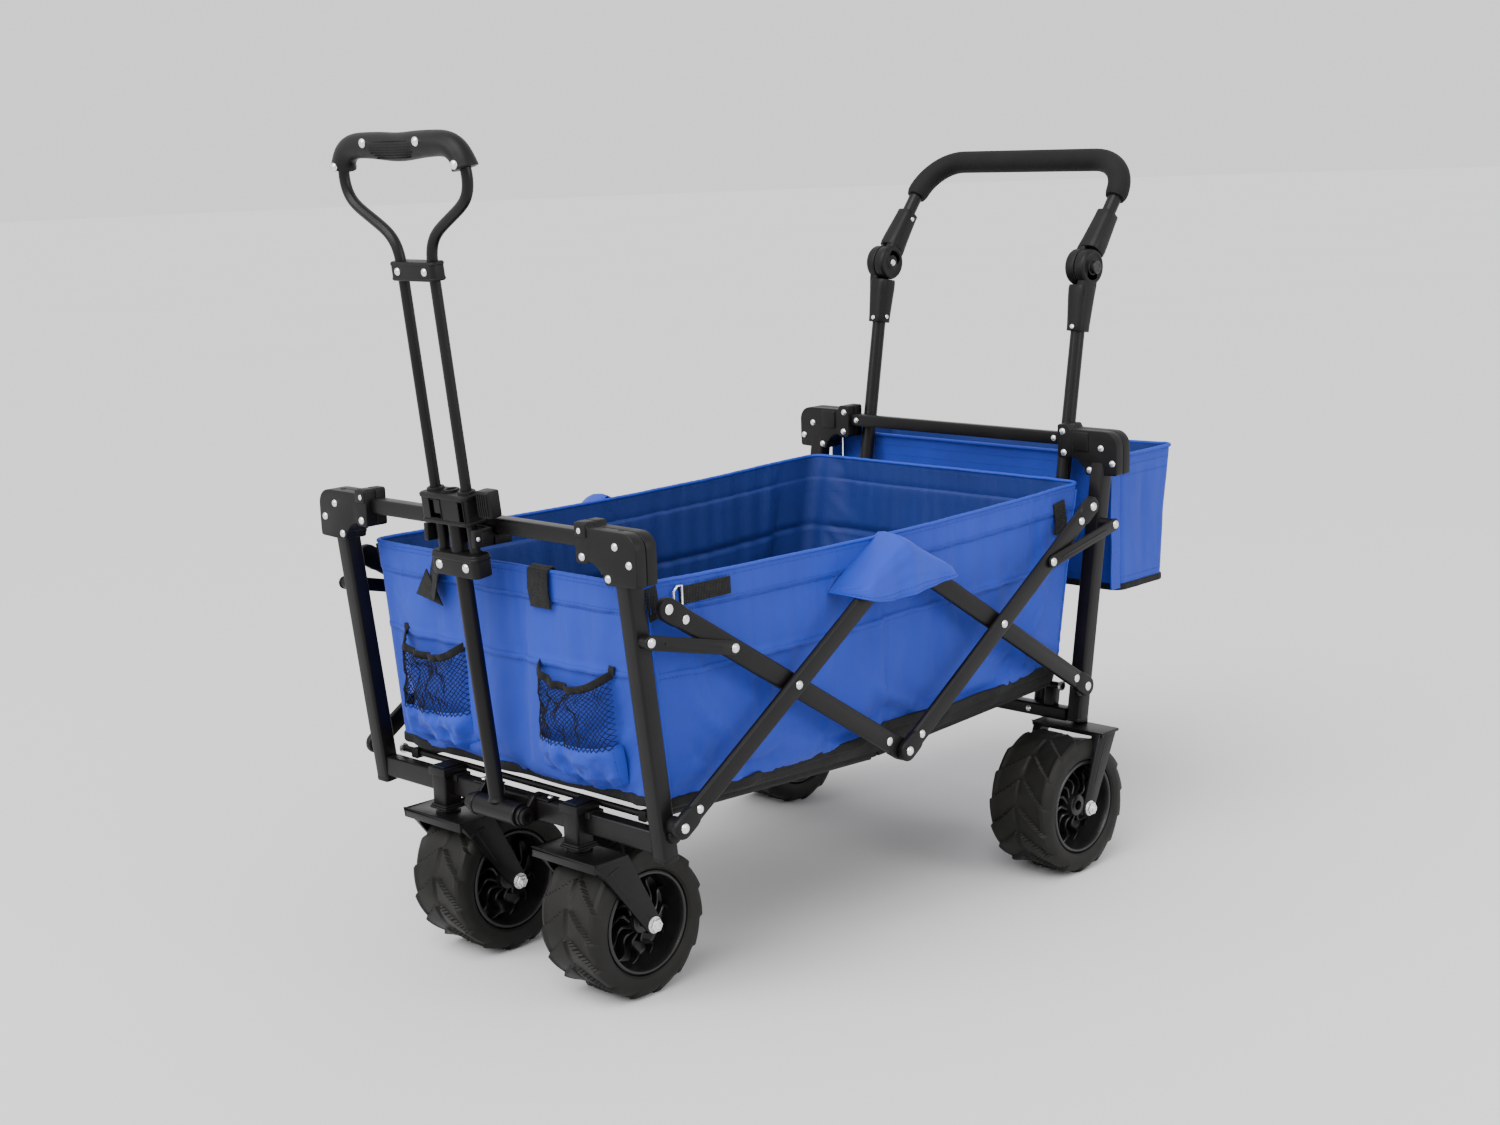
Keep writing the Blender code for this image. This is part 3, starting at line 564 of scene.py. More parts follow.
def hub_mesh():
    """A deep black wheel: rim lips, a barrel, a disc in the middle, ribs and a boss."""
    half = [
        (0.0066, 0.0355), (0.0120, 0.0355), (0.0138, 0.0345), (0.0150, 0.0300), (0.0160, 0.0130),
        (0.0175, 0.0100), (0.0480, 0.0100), (0.0520, 0.0115), (0.0538, 0.0150), (0.0556, 0.0350),
        (0.0560, 0.0425), (0.0570, 0.0440), (0.0592, 0.0442), (0.0605, 0.0432), (0.0608, 0.0400),
    ]
    profile = half + [(radius, -offset) for radius, offset in reversed(half)]
    shape = bmesh.new()
    turned(shape, profile, (0, 0, 0), (0, 1, 0), 72, closed=True)
    for n in range(12):
        for side in (-1, 1):
            spoke(shape, math.tau * n / 12, side)
    return shape


def wheels():
    for end in ("front", "rear"):
        for side, sign in SIDES:
            body = f"{end}_wheel_{side}"
            turn = Matrix.Rotation(0.13 * (sign + 2) + (0.21 if end == "rear" else 0), 4, "Y")
            set_at = Matrix.Translation(joint_place(f"{end}_wheel_spin_{side}")) @ turn
            tyre, hub = tyre_mesh(), hub_mesh()
            for shape in (tyre, hub):
                bmesh.ops.transform(shape, matrix=set_at, verts=shape.verts)
            finish_piece(f"tread_tyre_{end}_{side}", tyre, TYRE, body, (f"{end}_tyre_{side}",), smooth=28)
            finish_piece(f"spoked_hub_{end}_{side}", hub, HUB, body, (f"{end}_hub_{side}",), smooth=40)


# Forks


AXLE_OUT = 0.0537            # outer face of a fork leg, from the wheel's middle


def leg(shape, centre, sign, top, front, back):
    """A pressed fork leg: a tapered plate with a folded flange down its front edge."""
    x, across, z = centre
    inner, outer = AXLE_OUT - 0.0032, AXLE_OUT
    lean = math.degrees(math.atan2(top - z, (front + back) / 2 - x))
    foot = arc((x, z), 0.0115, lean - 86, lean - 274, 14)
    prism(shape, [(front, top), (back, top), *foot], across + sign * inner, across + sign * outer, "Y")
    edge, end = Vector((front, 0, top)), Vector((foot[-1][0], 0, foot[-1][1]))
    into = Vector((0.0028, 0, 0))
    rings = []
    for share, depth in ((0.01, 0.0150), (0.27, 0.0062), (0.6, 0.0046), (0.97, 0.0042)):
        a = edge.lerp(end, share)
        b = a + into
        y0, y1 = across + sign * (outer - depth), across + sign * (outer - 0.0006)
        rings.append([shape.verts.new(p) for p in
                      ((a.x, y0, a.z), (a.x, y1, a.z), (b.x, y1, b.z), (b.x, y0, b.z))])
    shape.faces.new(rings[0])
    shape.faces.new(list(reversed(rings[-1])))
    for ring, other in zip(rings, rings[1:]):
        bridge(shape, ring, other)


def pressed_rib(shape, start, end, way, width=0.0048, height=0.0010):
    """A shallow raised bead on a plate."""
    side = (end - start).cross(way).normalized()
    path = [start.lerp(end, n / 8) for n in range(9)]
    rings = []
    for n, place in enumerate(path):
        share = math.sin(math.pi * (0.06 + 0.88 * n / 8)) ** 0.4
        ring = []
        for u, v in ((-1, -0.6), (-0.72, 0.55), (-0.3, 0.95), (0.3, 0.95), (0.72, 0.55), (1, -0.6)):
            ring.append(shape.verts.new(place + side * (u * width / 2 * share) + way * (v * height)))
        rings.append(ring)
    for ring, other in zip(rings, rings[1:]):
        bridge(shape, ring, other)
    shape.faces.new(rings[0])
    shape.faces.new(list(reversed(rings[-1])))


def fork(name, body, node, centre, top, front, back, half, skirt):
    """A bent plate over the wheel with a lip in front, and a leg on each side."""
    shape = bmesh.new()
    x, across, z = centre
    block(shape, (front, across - half, top - 0.004), (back, across + half, top))
    block(shape, (front, across - half, top - skirt), (front + 0.0034, across + half, top))
    for sign in (-1, 1):
        leg(shape, centre, sign, top - 0.0008, front, back)
    finish_piece(name, shape, COAT, body, (node,), 0.0013, 2)
    beads = bmesh.new()
    for sign in (-1, 1):
        way = Vector((0, sign, 0))
        y = across + sign * AXLE_OUT
        down = Vector((x - (front + back) / 2, 0, z - top)).normalized()
        head = Vector(((front + back) / 2, y, top - 0.010)) - Vector((0.006, 0, 0))
        if front < x:
            pressed_rib(beads, head + Vector((-0.004, 0, -0.010)), head + Vector((0.016, 0, -0.002)), way)
        pressed_rib(beads, head + down * 0.004, head + down * 0.060, way, 0.0030, 0.0004)
        nut(body, Vector((x, y + sign * 0.0002, z)), way)
    finish_piece(name + "_pressings", beads, COAT, body, smooth=60)


def casters():
    for side, _sign in SIDES:
        body = "caster_" + side
        centre = joint_place("front_wheel_spin_" + side)
        stem = joint_place("caster_swivel_" + side)
        top = stem.z - 0.003
        front, back = stem.x - 0.0255, stem.x + 0.0255
        fork("pressed_fork_front_" + side, body, "caster_fork_" + side, centre, top, front, back,
             0.054, 0.0115)
        shape = bmesh.new()
        profile = [(0.0040, -0.001), (0.0150, -0.001), (0.0152, 0.0012), (0.0128, 0.0020),
                   (0.0122, 0.0042), (0.004, 0.0042)]
        turned(shape, profile, stem + Vector((0, 0, -0.003)), (0, 0, 1), 28, closed=True)
        finish_piece("swivel_collar_" + side, shape, PLASTIC, body, smooth=50)


def rear_forks():
    for side, _sign in SIDES:
        centre = joint_place("rear_wheel_spin_" + side)
        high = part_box("rear_fork_" + side)[1]
        front, back = START + 0.722, START + 0.760
        fork("pressed_fork_rear_" + side, "rear_frame", "rear_fork_" + side, centre, high.z, front, back,
             0.057, 0.0065)


# End frames

FRONT_POST = ((-0.002, 0.197), (-0.0405, 0.545))
REAR_POST = ((0.748, 0.1865), (0.8095, 0.535))
POST_Y = 0.250
FRONT_CORNER, REAR_CORNER = -0.0385, 0.8115
TOP_BAR_UP = 0.5515


def bar_piece(name, start, end, size, body, node, across=None, corner=0.0026):
    shape = bmesh.new()
    sweep(shape, [Vector(start), Vector(end)], soft_box(size[0], size[1], corner, 4), across)
    return finish_piece(name, shape, COAT, body, (node,), smooth=45)


def posts():
    for end, post in (("front", FRONT_POST), ("rear", REAR_POST)):
        for side, sign in SIDES:
            foot, head = at(post[0][0], sign * POST_Y, post[0][1]), at(post[1][0], sign * POST_Y, post[1][1])
            body = end + "_frame"
            bar_piece(f"{end}_upright_{side}", foot, head, (0.022, 0.022), body, f"{end}_post_{side}",
                      Vector((0, 1, 0)), 0.0038)
            plug = bmesh.new()
            along = (head - foot).normalized()
            sweep(plug, [foot - along * 0.0012, foot + along * 0.004], soft_box(0.0226, 0.0226, 0.004, 4),
                  Vector((0, 1, 0)))
            finish_piece(f"{end}_foot_plug_{side}", plug, PLASTIC, body, bevel=0.0006, smooth=45)


def corner_outline(sign):
    """The elbow seen along the cart: a rounded outer corner, and lugs round an inner curve."""
    points = [
        *arc((0.1895, 0.5685), 0.0035, 180, 90, 4), *arc((0.2015, 0.5685), 0.0035, 90, 40, 3),
        (0.2065, 0.5665), (0.212, 0.5662), (0.258, 0.5662), *arc((0.2625, 0.5475), 0.0185, 82, 4, 9),
        (0.2812, 0.530), *arc((0.277, 0.5128), 0.0038, 0, -80, 4),
        *arc((0.2345, 0.5112), 0.0038, 270, 170, 5), (0.2285, 0.5150), (0.2292, 0.5195),
        *arc((0.2055, 0.5065), 0.0235, 28, 88, 8), (0.2040, 0.5275),
        *arc((0.1900, 0.5305), 0.0036, 270, 180, 4),
    ]
    return [(sign * across, up) for across, up in points]


def shrunk(outline, share):
    middle = [sum(axis) / len(outline) for axis in zip(*outline)]
    return [(middle[0] + (a - middle[0]) * share, middle[1] + (b - middle[1]) * share) for a, b in outline]


CORNER_RIVETS = {
    "front": ((0.1945, 0.5625), (0.1965, 0.5345), (0.2490, 0.5505), (0.2700, 0.5330), (0.2365, 0.5150)),
    "rear": ((0.2560, 0.5440), (0.2740, 0.5250), (0.2380, 0.5140), (0.1945, 0.5625), (0.1965, 0.5345)),
}


def corners():
    for end, middle in (("front", FRONT_CORNER), ("rear", REAR_CORNER)):
        body = end + "_frame"
        centre = middle + START
        for side, sign in SIDES:
            outline = corner_outline(sign)
            shape = bmesh.new()
            prism(shape, outline, centre - 0.015, centre - 0.0004, "X")
            prism(shape, outline, centre + 0.0004, centre + 0.015, "X")
            finish_piece(f"{end}_elbow_{side}", shape, PLASTIC, body, (f"{end}_corner_{side}",),
                         0.0022, 3, 40)
            core = bmesh.new()
            prism(core, shrunk(outline, 0.972), centre - 0.003, centre + 0.003, "X")
            finish_piece(f"{end}_elbow_seam_{side}", core, PLASTIC, body, smooth=40)
            for across, up in CORNER_RIVETS[end]:
                for way in (-1, 1):
                    rivet(body, (centre + way * 0.0149, sign * across, up), (way, 0, 0), 0.0046)
            detail = bmesh.new()
            if end == "rear":
                low, high = sorted((sign * 0.2115, sign * 0.2365))
                block(detail, (centre - 0.0172, low, 0.538), (centre - 0.012, high, 0.564))
            else:
                low, high = sorted((sign * 0.186, sign * 0.2065))
                block(detail, (centre - 0.0168, low + 0.001, 0.5555), (centre - 0.012, high - 0.001, 0.5712))
            finish_piece(f"{end}_elbow_cover_{side}", detail, PLASTIC, body, bevel=0.0018, segments=3)
            if end == "front":
                hole = bmesh.new()
                turned(hole, [(0.0022, 0.0002), (0.0036, 0.0003), (0.0038, -0.001), (0.0022, -0.001)],
                       (centre - 0.002, sign * 0.247, 0.5662), (0, 0, 1), 18, closed=True)
                finish_piece(f"front_elbow_hole_{side}", hole, TAPE, body)


def cross_bars():
    bar_piece("front_top_tube", at(-0.037, -0.205, TOP_BAR_UP), at(-0.037, 0.205, TOP_BAR_UP), (0.018, 0.018),
              "front_frame", "front_top_bar", Vector((0, 0, 1)), 0.0026)
    bar_piece("rear_top_flat_tube", at(0.808, -0.205, TOP_BAR_UP), at(0.808, 0.205, TOP_BAR_UP),
              (0.017, 0.012), "rear_frame", "rear_top_bar", Vector((0, 0, 1)), 0.0024)
    bar_piece("rear_lower_tube", at(0.745, -0.2387, 0.1945), at(0.745, 0.2387, 0.1945), (0.017, 0.018),
              "rear_frame", "rear_lower_bar", Vector((0, 0, 1)), 0.0024)
    for sign in (-1, 1):
        rivet("rear_frame", at(0.8020, sign * 0.176, TOP_BAR_UP), (-1, 0, 0), 0.0042)
        rivet("rear_frame", at(0.7360, sign * 0.179, 0.1945), (-1, 0, 0), 0.0042)
        shape = bmesh.new()
        sweep(shape, [at(0.7445, sign * 0.2105, 0.2025), at(0.7500, sign * 0.2105, 0.2330)],
              soft_box(0.016, 0.014, 0.002, 3), Vector((0, 1, 0)))
        side = "left" if sign < 0 else "right"
        finish_piece("rear_inner_strut_" + side, shape, COAT, "rear_frame", bevel=0.0006)


def front_bar():
    """The lower bar with its two caster clamps, and the ears that hold the pull handle."""
    shape = bmesh.new()
    sweep(shape, [at(-0.003, -0.2387, 0.2155), at(-0.003, 0.2387, 0.2155)],
          soft_box(0.025, 0.018, 0.0028, 4), Vector((0, 0, 1)))
    for sign in (-1, 1):
        y = sign * 0.119
        sweep(shape, [at(-0.013, y, 0.1885), at(-0.013, y, 0.2320)], soft_box(0.025, 0.025, 0.003, 4),
              Vector((0, 1, 0)))
    finish_piece("front_lower_tube", shape, COAT, "front_frame", ("front_lower_bar",), 0.0004, 1, 45)
    clamps = bmesh.new()
    for sign in (-1, 1):
        y = sign * 0.119
        block(clamps, at(-0.0275, y - 0.0155, 0.2285), at(0.0075, y + 0.0155, 0.2385))
        block(clamps, at(-0.0240, y - 0.0115, 0.2380), at(0.0035, y + 0.0115, 0.2406))
        block(clamps, at(-0.0140, y - 0.0215, 0.2215), at(0.0080, y + 0.0215, 0.2305))
        block(clamps, at(-0.0285, y - 0.0155, 0.1872), at(0.0025, y + 0.0155, 0.1905))
        block(clamps, at(-0.0272, y - 0.0142, 0.1900), at(0.0012, y + 0.0142, 0.1930))
    finish_piece("caster_clamps", clamps, PLASTIC, "front_frame", bevel=0.0013, segments=2)
    pivot_ears()


def pivot_ears():
    x, up = joint_place("pull_handle_hinge").x, 0.212
    bar = START - 0.003
    ears, bolts = bmesh.new(), bmesh.new()
    for sign in (-1, 1):
        low, high = sorted((sign * 0.0415, sign * 0.0470))
        outline = arc((x, up), 0.0115, 60, 300, 12) + [(bar, up - 0.010), (bar, up + 0.0205),
                                                       (bar - 0.012, up + 0.0205)]
        prism(ears, outline, low, high, "Y")
        block(ears, (bar - 0.010, min(sign * 0.030, sign * 0.068), 0.2280),
              (bar + 0.009, max(sign * 0.030, sign * 0.068), 0.2305))
        turned(bolts, [(0, 0), (0.0096, 0), (0.0100, 0.0010), (0.0096, 0.0048), (0.0078, 0.0056),
                       (0.0052, 0.0054), (0.0048, 0.0030), (0, 0.0030)],
               (x, sign * 0.0470, up), (0, sign, 0), 28)
        rivet("front_frame", (bar + 0.001, sign * 0.0600, 0.2304), (0, 0, 1), 0.0036)
    finish_piece("pull_pivot_ears", ears, COAT, "front_frame", bevel=0.0010)
    finish_piece("pull_pivot_bolts", bolts, PLASTIC, "front_frame", smooth=30)


def dock():
    """The clip on the front top bar that the upright pull handle rests in."""
    low, high = TOP_BAR_UP - 0.021, TOP_BAR_UP - 0.0006
    bar = -0.037
    shape = bmesh.new()
    block(shape, at(bar - 0.0155, -0.046, low), at(bar + 0.013, 0.046, low + 0.0117))
    block(shape, at(bar - 0.0155, -0.046, low + 0.0115), at(bar - 0.0093, 0.046, high))
    block(shape, at(bar + 0.0093, -0.046, low + 0.0115), at(bar + 0.013, 0.046, high))
    for sign in (-1, 1):
        near, far = sorted((sign * 0.0386, sign * 0.0460))
        block(shape, at(bar - 0.0395, near, low), at(bar - 0.010, far, high))
        near, far = sorted((sign * 0.0444, sign * 0.0468))
        block(shape, at(bar - 0.0300, near, low + 0.004), at(bar - 0.013, far, high - 0.004))
        rivet("front_frame", at(bar - 0.0350, sign * 0.0460, 0.5405), (0, sign, 0), 0.0026)
    finish_piece("handle_clip", shape, PLASTIC, "front_frame", ("handle_dock",), 0.0014, 3)


def frame_ends():
    """Knuckles and bushes where the bars and the floor's rods meet the posts."""
    for body, x, z in (("front_frame", 0.013, 0.234), ("rear_frame", 0.735, 0.234)):
        shape = bmesh.new()
        for sign in (-1, 1):
            turned(shape, [(0, 0), (0.0085, 0), (0.0092, 0.0012), (0.0088, 0.0048), (0.0060, 0.0062),
                           (0, 0.0062)],
                   at(x if body == "rear_frame" else 0.0, sign * 0.2608,
                      z if body == "rear_frame" else 0.2255),
                   (0, sign, 0), 22)
        finish_piece(body + "_rod_caps", shape, PLASTIC, body, smooth=35)
    bushes = {"front_frame": [], "rear_frame": []}
    bushes["front_frame"].append((0.0, 0.237, 0.2608, 0.2712, 0.0105))
    bushes["front_frame"].append((-0.031, 0.447, 0.2608, 0.2713, 0.0070))
    bushes["rear_frame"].append((0.7451, 0.237, 0.2608, 0.2622, 0.0105))
    bushes["rear_frame"].append((0.790, 0.447, 0.2608, 0.2803, 0.0070))
    for body, rows in bushes.items():
        shape = bmesh.new()
        for x, z, near, far, radius in rows:
            for sign in (-1, 1):
                turned(shape, [(0, 0), (radius, 0), (radius, far - near), (0, far - near)],
                       at(x, sign * near, z), (0, sign, 0), 22)
        finish_piece(body + "_bushes", shape, PLASTIC, body, smooth=35)


# Scissor bars, links and floor

BAR_HALF = 0.2216
BAR_ANGLE = math.radians(32.8)
BAR_LOW = 0.237
PITCH, RISE = BAR_HALF * math.cos(BAR_ANGLE), BAR_HALF * math.sin(BAR_ANGLE)
BAR_TOP = BAR_LOW + 2 * RISE
BARS = {
    "a": ((0.0, BAR_TOP), (2 * PITCH, BAR_LOW), 0.2625),
    "b": ((0.0, BAR_LOW), (2 * PITCH, BAR_TOP), 0.2715),
    "c": ((2 * PITCH, BAR_LOW), (4 * PITCH, BAR_TOP), 0.2715),
    "d": ((2 * PITCH, BAR_TOP), (4 * PITCH, BAR_LOW), 0.2625),
}


def stadium(start, end, width, steps=8):
    angle = math.degrees(math.atan2(end[1] - start[1], end[0] - start[0]))
    outline = arc(start, width / 2, angle + 90, angle + 270, steps)
    outline += arc(end, width / 2, angle - 90, angle + 90, steps)
    return [(x + START, z) for x, z in outline]


def along_bar(start, end, far):
    """A place on the way from one bar end to the other."""
    length = math.dist(start, end)
    return tuple(a + (b - a) * far / length for a, b in zip(start, end))


def scissor_bars():
    for letter, (start, end, layer) in BARS.items():
        body = "bars_" + letter
        outer = layer > 0.27
        proud = 0.0012 if outer else 0.0003
        rise = 1.0 if outer else 0.28
        caps = bmesh.new()
        for side, sign in SIDES:
            shape = bmesh.new()
            trim_start, trim_end = along_bar(start, end, 0.004), along_bar(end, start, 0.004)
            prism(shape, stadium(trim_start, trim_end, 0.0245), sign * layer, sign * (layer + 0.008), "Y")
            finish_piece(f"flat_tube_{letter}_{side}", shape, COAT, body, (f"scissor_bar_{letter}_{side}",),
                         0.0034, 4, 50)
            for place, other in ((start, end), (end, start)):
                tip = along_bar(place, other, 0.016)
                low, high = sorted((sign * (layer - (0.0 if outer else 0.0006)),
                                    sign * (layer + 0.008 + proud)))
                prism(caps, stadium(place, tip, 0.0262), low, high, "Y")
                inner = along_bar(place, other, 0.0285)
                face = sign * (layer + 0.008)
                flat_rivet(body, at(inner[0], face, inner[1]), sign, 0.0052, rise)
                if outer or place == end and letter == "d" or place == start and letter == "a":
                    flat_rivet(body, at(place[0], face + sign * proud, place[1]), sign, 0.0058, rise)
            if outer:
                middle = ((start[0] + end[0]) / 2, (start[1] + end[1]) / 2)
                flat_rivet(body, at(middle[0], sign * (layer + 0.008), middle[1]), sign, 0.0052, 1.0)
        finish_piece(f"bar_end_caps_{letter}", caps, PLASTIC, body, bevel=0.0026 if outer else 0.0016,
                     segments=3, smooth=45)


def flat_rivet(body, place, sign, radius, rise):
    profile = [(radius * 0.9, -0.0006), (radius, 0.0002 * rise), (radius * 0.96, radius * 0.18 * rise),
               (radius * 0.78, radius * 0.38 * rise), (radius * 0.45, radius * 0.5 * rise),
               (0, radius * 0.54 * rise)]
    turned(hardware(body), profile, place, (0, sign, 0), 18)


def links():
    front_tip = (PITCH - 0.1112 * math.cos(BAR_ANGLE), BAR_LOW + RISE + 0.1112 * math.sin(BAR_ANGLE))
    rear_tip = (3 * PITCH + 0.1156 * math.cos(BAR_ANGLE), BAR_LOW + RISE + 0.1156 * math.sin(BAR_ANGLE))
    for end, foot, tip, layer in (("front", (-0.031, 0.447), front_tip, 0.2715),
                                  ("rear", (0.790, 0.447), rear_tip, 0.2805)):
        body = "links_" + end
        for side, sign in SIDES:
            shape = bmesh.new()
            prism(shape, stadium(foot, tip, 0.0162), sign * layer, sign * (layer + 0.003), "Y")
            finish_piece(f"{end}_strap_{side}", shape, COAT, body, (f"{end}_link_{side}",), 0.0008, 2, 45)
            face = sign * (layer + 0.003)
            groove = bmesh.new()
            near, far = along_bar(foot, tip, 0.020), along_bar(tip, foot, 0.020)
            width = 0.0075 if end == "front" else 0.0045
            pressed_rib(groove, at(near[0], face, near[1]), at(far[0], face, far[1]), Vector((0, sign, 0)),
                        width, 0.0009)
            finish_piece(f"{end}_strap_rib_{side}", groove, COAT, body, smooth=60)
            for place in (foot, tip):
                flat_rivet(body, at(place[0], face, place[1]), sign, 0.0055, 0.9)


def floor_rails():
    middle = Vector((0.374, 0, 0.218))
    for end, foot, rail_y in (("front", (0.013, 0.234), 0.205), ("rear", (0.735, 0.234), 0.190)):
        body = "floor_" + end
        start = at(foot[0], 0, foot[1])
        tip = at(middle.x, 0, middle.z)
        inward = (tip - start).normalized()
        shape = bmesh.new()
        reach = Vector((0, 0.2370, 0))
        sweep(shape, [start - reach, start + reach], round_outline(0.004, 14))
        for sign in (-1, 1):
            shift = Vector((0, sign * rail_y, 0))
            sweep(shape, [start + shift - inward * 0.006, tip + shift + inward * 0.006],
                  soft_box(0.012, 0.012, 0.0018, 3), Vector((0, 1, 0)))
        finish_piece(f"{end}_floor_rails", shape, COAT, body, (f"floor_rail_{end}",), smooth=45)
        plugs = bmesh.new()
        for sign in (-1, 1):
            shift = Vector((0, sign * rail_y, 0))
            for place, way in ((start - inward * 0.006, -1), (tip + inward * 0.006, 1)):
                sweep(plugs, [place + shift - inward * way * 0.003, place + shift + inward * way * 0.0012],
                      soft_box(0.0124, 0.0124, 0.002, 3), Vector((0, 1, 0)))
            turned(hardware(body), [(0, 0), (0.0062, 0), (0.0064, 0.003), (0, 0.003)],
                   start + Vector((0, sign * 0.2335, 0)), (0, sign, 0), 16)
        finish_piece(f"{end}_rail_plugs", plugs, PLASTIC, body, bevel=0.0004, segments=1)


# Pull handle


TWIN_Y = 0.0275
COLLAR = (0.345, 0.380)
LOW_CLAMP = (0.284, 0.311)
TOP_CLAMP = (0.616, 0.637)


def leaned(shape, name, material, body, replaces=(), **edges):
    """Set a shape made along the pull handle's own axis onto the leaning handle."""
    turn = Matrix.Translation(joint_place("pull_handle_hinge")) @ Matrix.Rotation(-math.atan(0.105), 4, "Y")
    bmesh.ops.transform(shape, matrix=turn, verts=shape.verts)
    return finish_piece(name, shape, material, body, replaces, **edges)


def rounded_block(shape, half_x, half_y, low, high, corner, centre_x=0.0):
    outline = [(centre_x + a, b) for a, b in soft_box(2 * half_x, 2 * half_y, corner, 6)]
    prism(shape, outline, low, high, "Z")


def pull_tube():
    shape = bmesh.new()
    turned(shape, [(0.0062, -0.040), (0.0120, -0.040), (0.0130, -0.0392), (0.0130, 0.0392), (0.0120, 0.040),
                   (0.0062, 0.040)], (0, 0, 0), (0, 1, 0), 36, closed=True)
    turned(shape, [(0.0100, 0.0105), (0.0116, 0.0118), (0.0101, 0.0150), (0.0095, 0.0162),
                   (0.0095, COLLAR[1] - 0.008), (0, COLLAR[1] - 0.008)], (0, 0, 0), (0, 0, 1), 32)
    leaned(shape, "pull_post_and_sleeve", COAT, "pull_arm", ("pull_tube",), smooth=40)
    ring = bmesh.new()
    for sign in (-1, 1):
        turned(ring, [(0.0100, 0), (0.0136, 0), (0.0140, 0.001), (0.0140, 0.0045), (0.0136, 0.0055),
                      (0.0131, 0.0055)],
               (0, sign * 0.0402, 0), (0, -sign, 0), 36)
    leaned(ring, "pull_sleeve_rings", PLASTIC, "pull_arm", smooth=35)


def collar():
    """The catch: a block round the three tubes with stepped windows and a thumb latch."""
    low, high = COLLAR
    body = bmesh.new()
    rounded_block(body, 0.0150, 0.0400, low, high, 0.0060, -0.0008)
    leaned(body, "catch_block", PLASTIC, "pull_arm", ("pull_collar",), bevel=0.0016, segments=3)
    rims = bmesh.new()
    rounded_block(rims, 0.0162, 0.0412, high - 0.0055, high - 0.0010, 0.0068, -0.0008)
    rounded_block(rims, 0.0160, 0.0408, low + 0.0006, low + 0.0050, 0.0066, -0.0008)
    leaned(rims, "catch_rims", PLASTIC, "pull_arm", bevel=0.0010, segments=2)
    tower = bmesh.new()
    for sign in (-1, 1):
        turned(tower, [(0.0080, high - 0.002), (0.0104, high - 0.002), (0.0100, high + 0.0026),
                       (0.0088, high + 0.0034), (0.0070, high + 0.0034)],
               (0, sign * TWIN_Y, 0), (0, 0, 1), 28)
    turned(tower, [(0.0058, high - 0.002), (0.0098, high - 0.002), (0.0094, high + 0.0024),
                   (0.0082, high + 0.0030), (0.0058, high + 0.0028), (0.0054, high - 0.001)],
           (0, 0, 0), (0, 0, 1), 28)
    leaned(tower, "catch_collars", PLASTIC, "pull_arm", smooth=35)
    # The windows are thin near-black plates on the front face: painted shade in place of open recesses.
    windows = bmesh.new()
    front = -0.0161
    block(windows, (front, 0.0150, low + 0.0075), (front + 0.0012, 0.0215, high - 0.0075))
    block(windows, (front, 0.0040, low + 0.0075), (front + 0.0012, 0.0216, low + 0.0125))
    block(windows, (front, -0.0370, low + 0.0065), (front + 0.0012, -0.0300, high - 0.0065))
    leaned(windows, "catch_windows", RECESS_SHADE, "pull_arm")
    frames = bmesh.new()
    for left, right in ((0.0030, 0.0225), (-0.0380, -0.0285)):
        outline = [(left, low + 0.0065), (right, low + 0.0065), (right, high - 0.0065), (left, high - 0.0065)]
        edge = [Vector((front + 0.0001, y, z)) for y, z in outline]
        sweep(frames, edge, round_outline(0.0008, 8), closed=True)
    leaned(frames, "catch_window_edges", PLASTIC, "pull_arm", smooth=60)
    latch()


def latch():
    low, high = COLLAR[0] + 0.009, COLLAR[1] + 0.0045
    tab = bmesh.new()
    outline = [(0.006 + a, -0.0560 + b) for a, b in soft_box(0.0190, 0.0235, 0.0050, 5)]
    prism(tab, outline, low, high, "Z")
    leaned(tab, "thumb_latch", PLASTIC, "pull_latch", ("collar_latch",), bevel=0.0022, segments=3)
    ribs = bmesh.new()
    for n in range(5):
        y = -0.0500 - n * 0.0036
        sweep(ribs, [Vector((-0.0036, y, low + 0.0030)), Vector((-0.0042, y, (low + high) / 2)),
                     Vector((-0.0036, y, high - 0.0030))], round_outline(0.0012, 8))
    leaned(ribs, "thumb_latch_ribs", PLASTIC, "pull_latch", smooth=60)


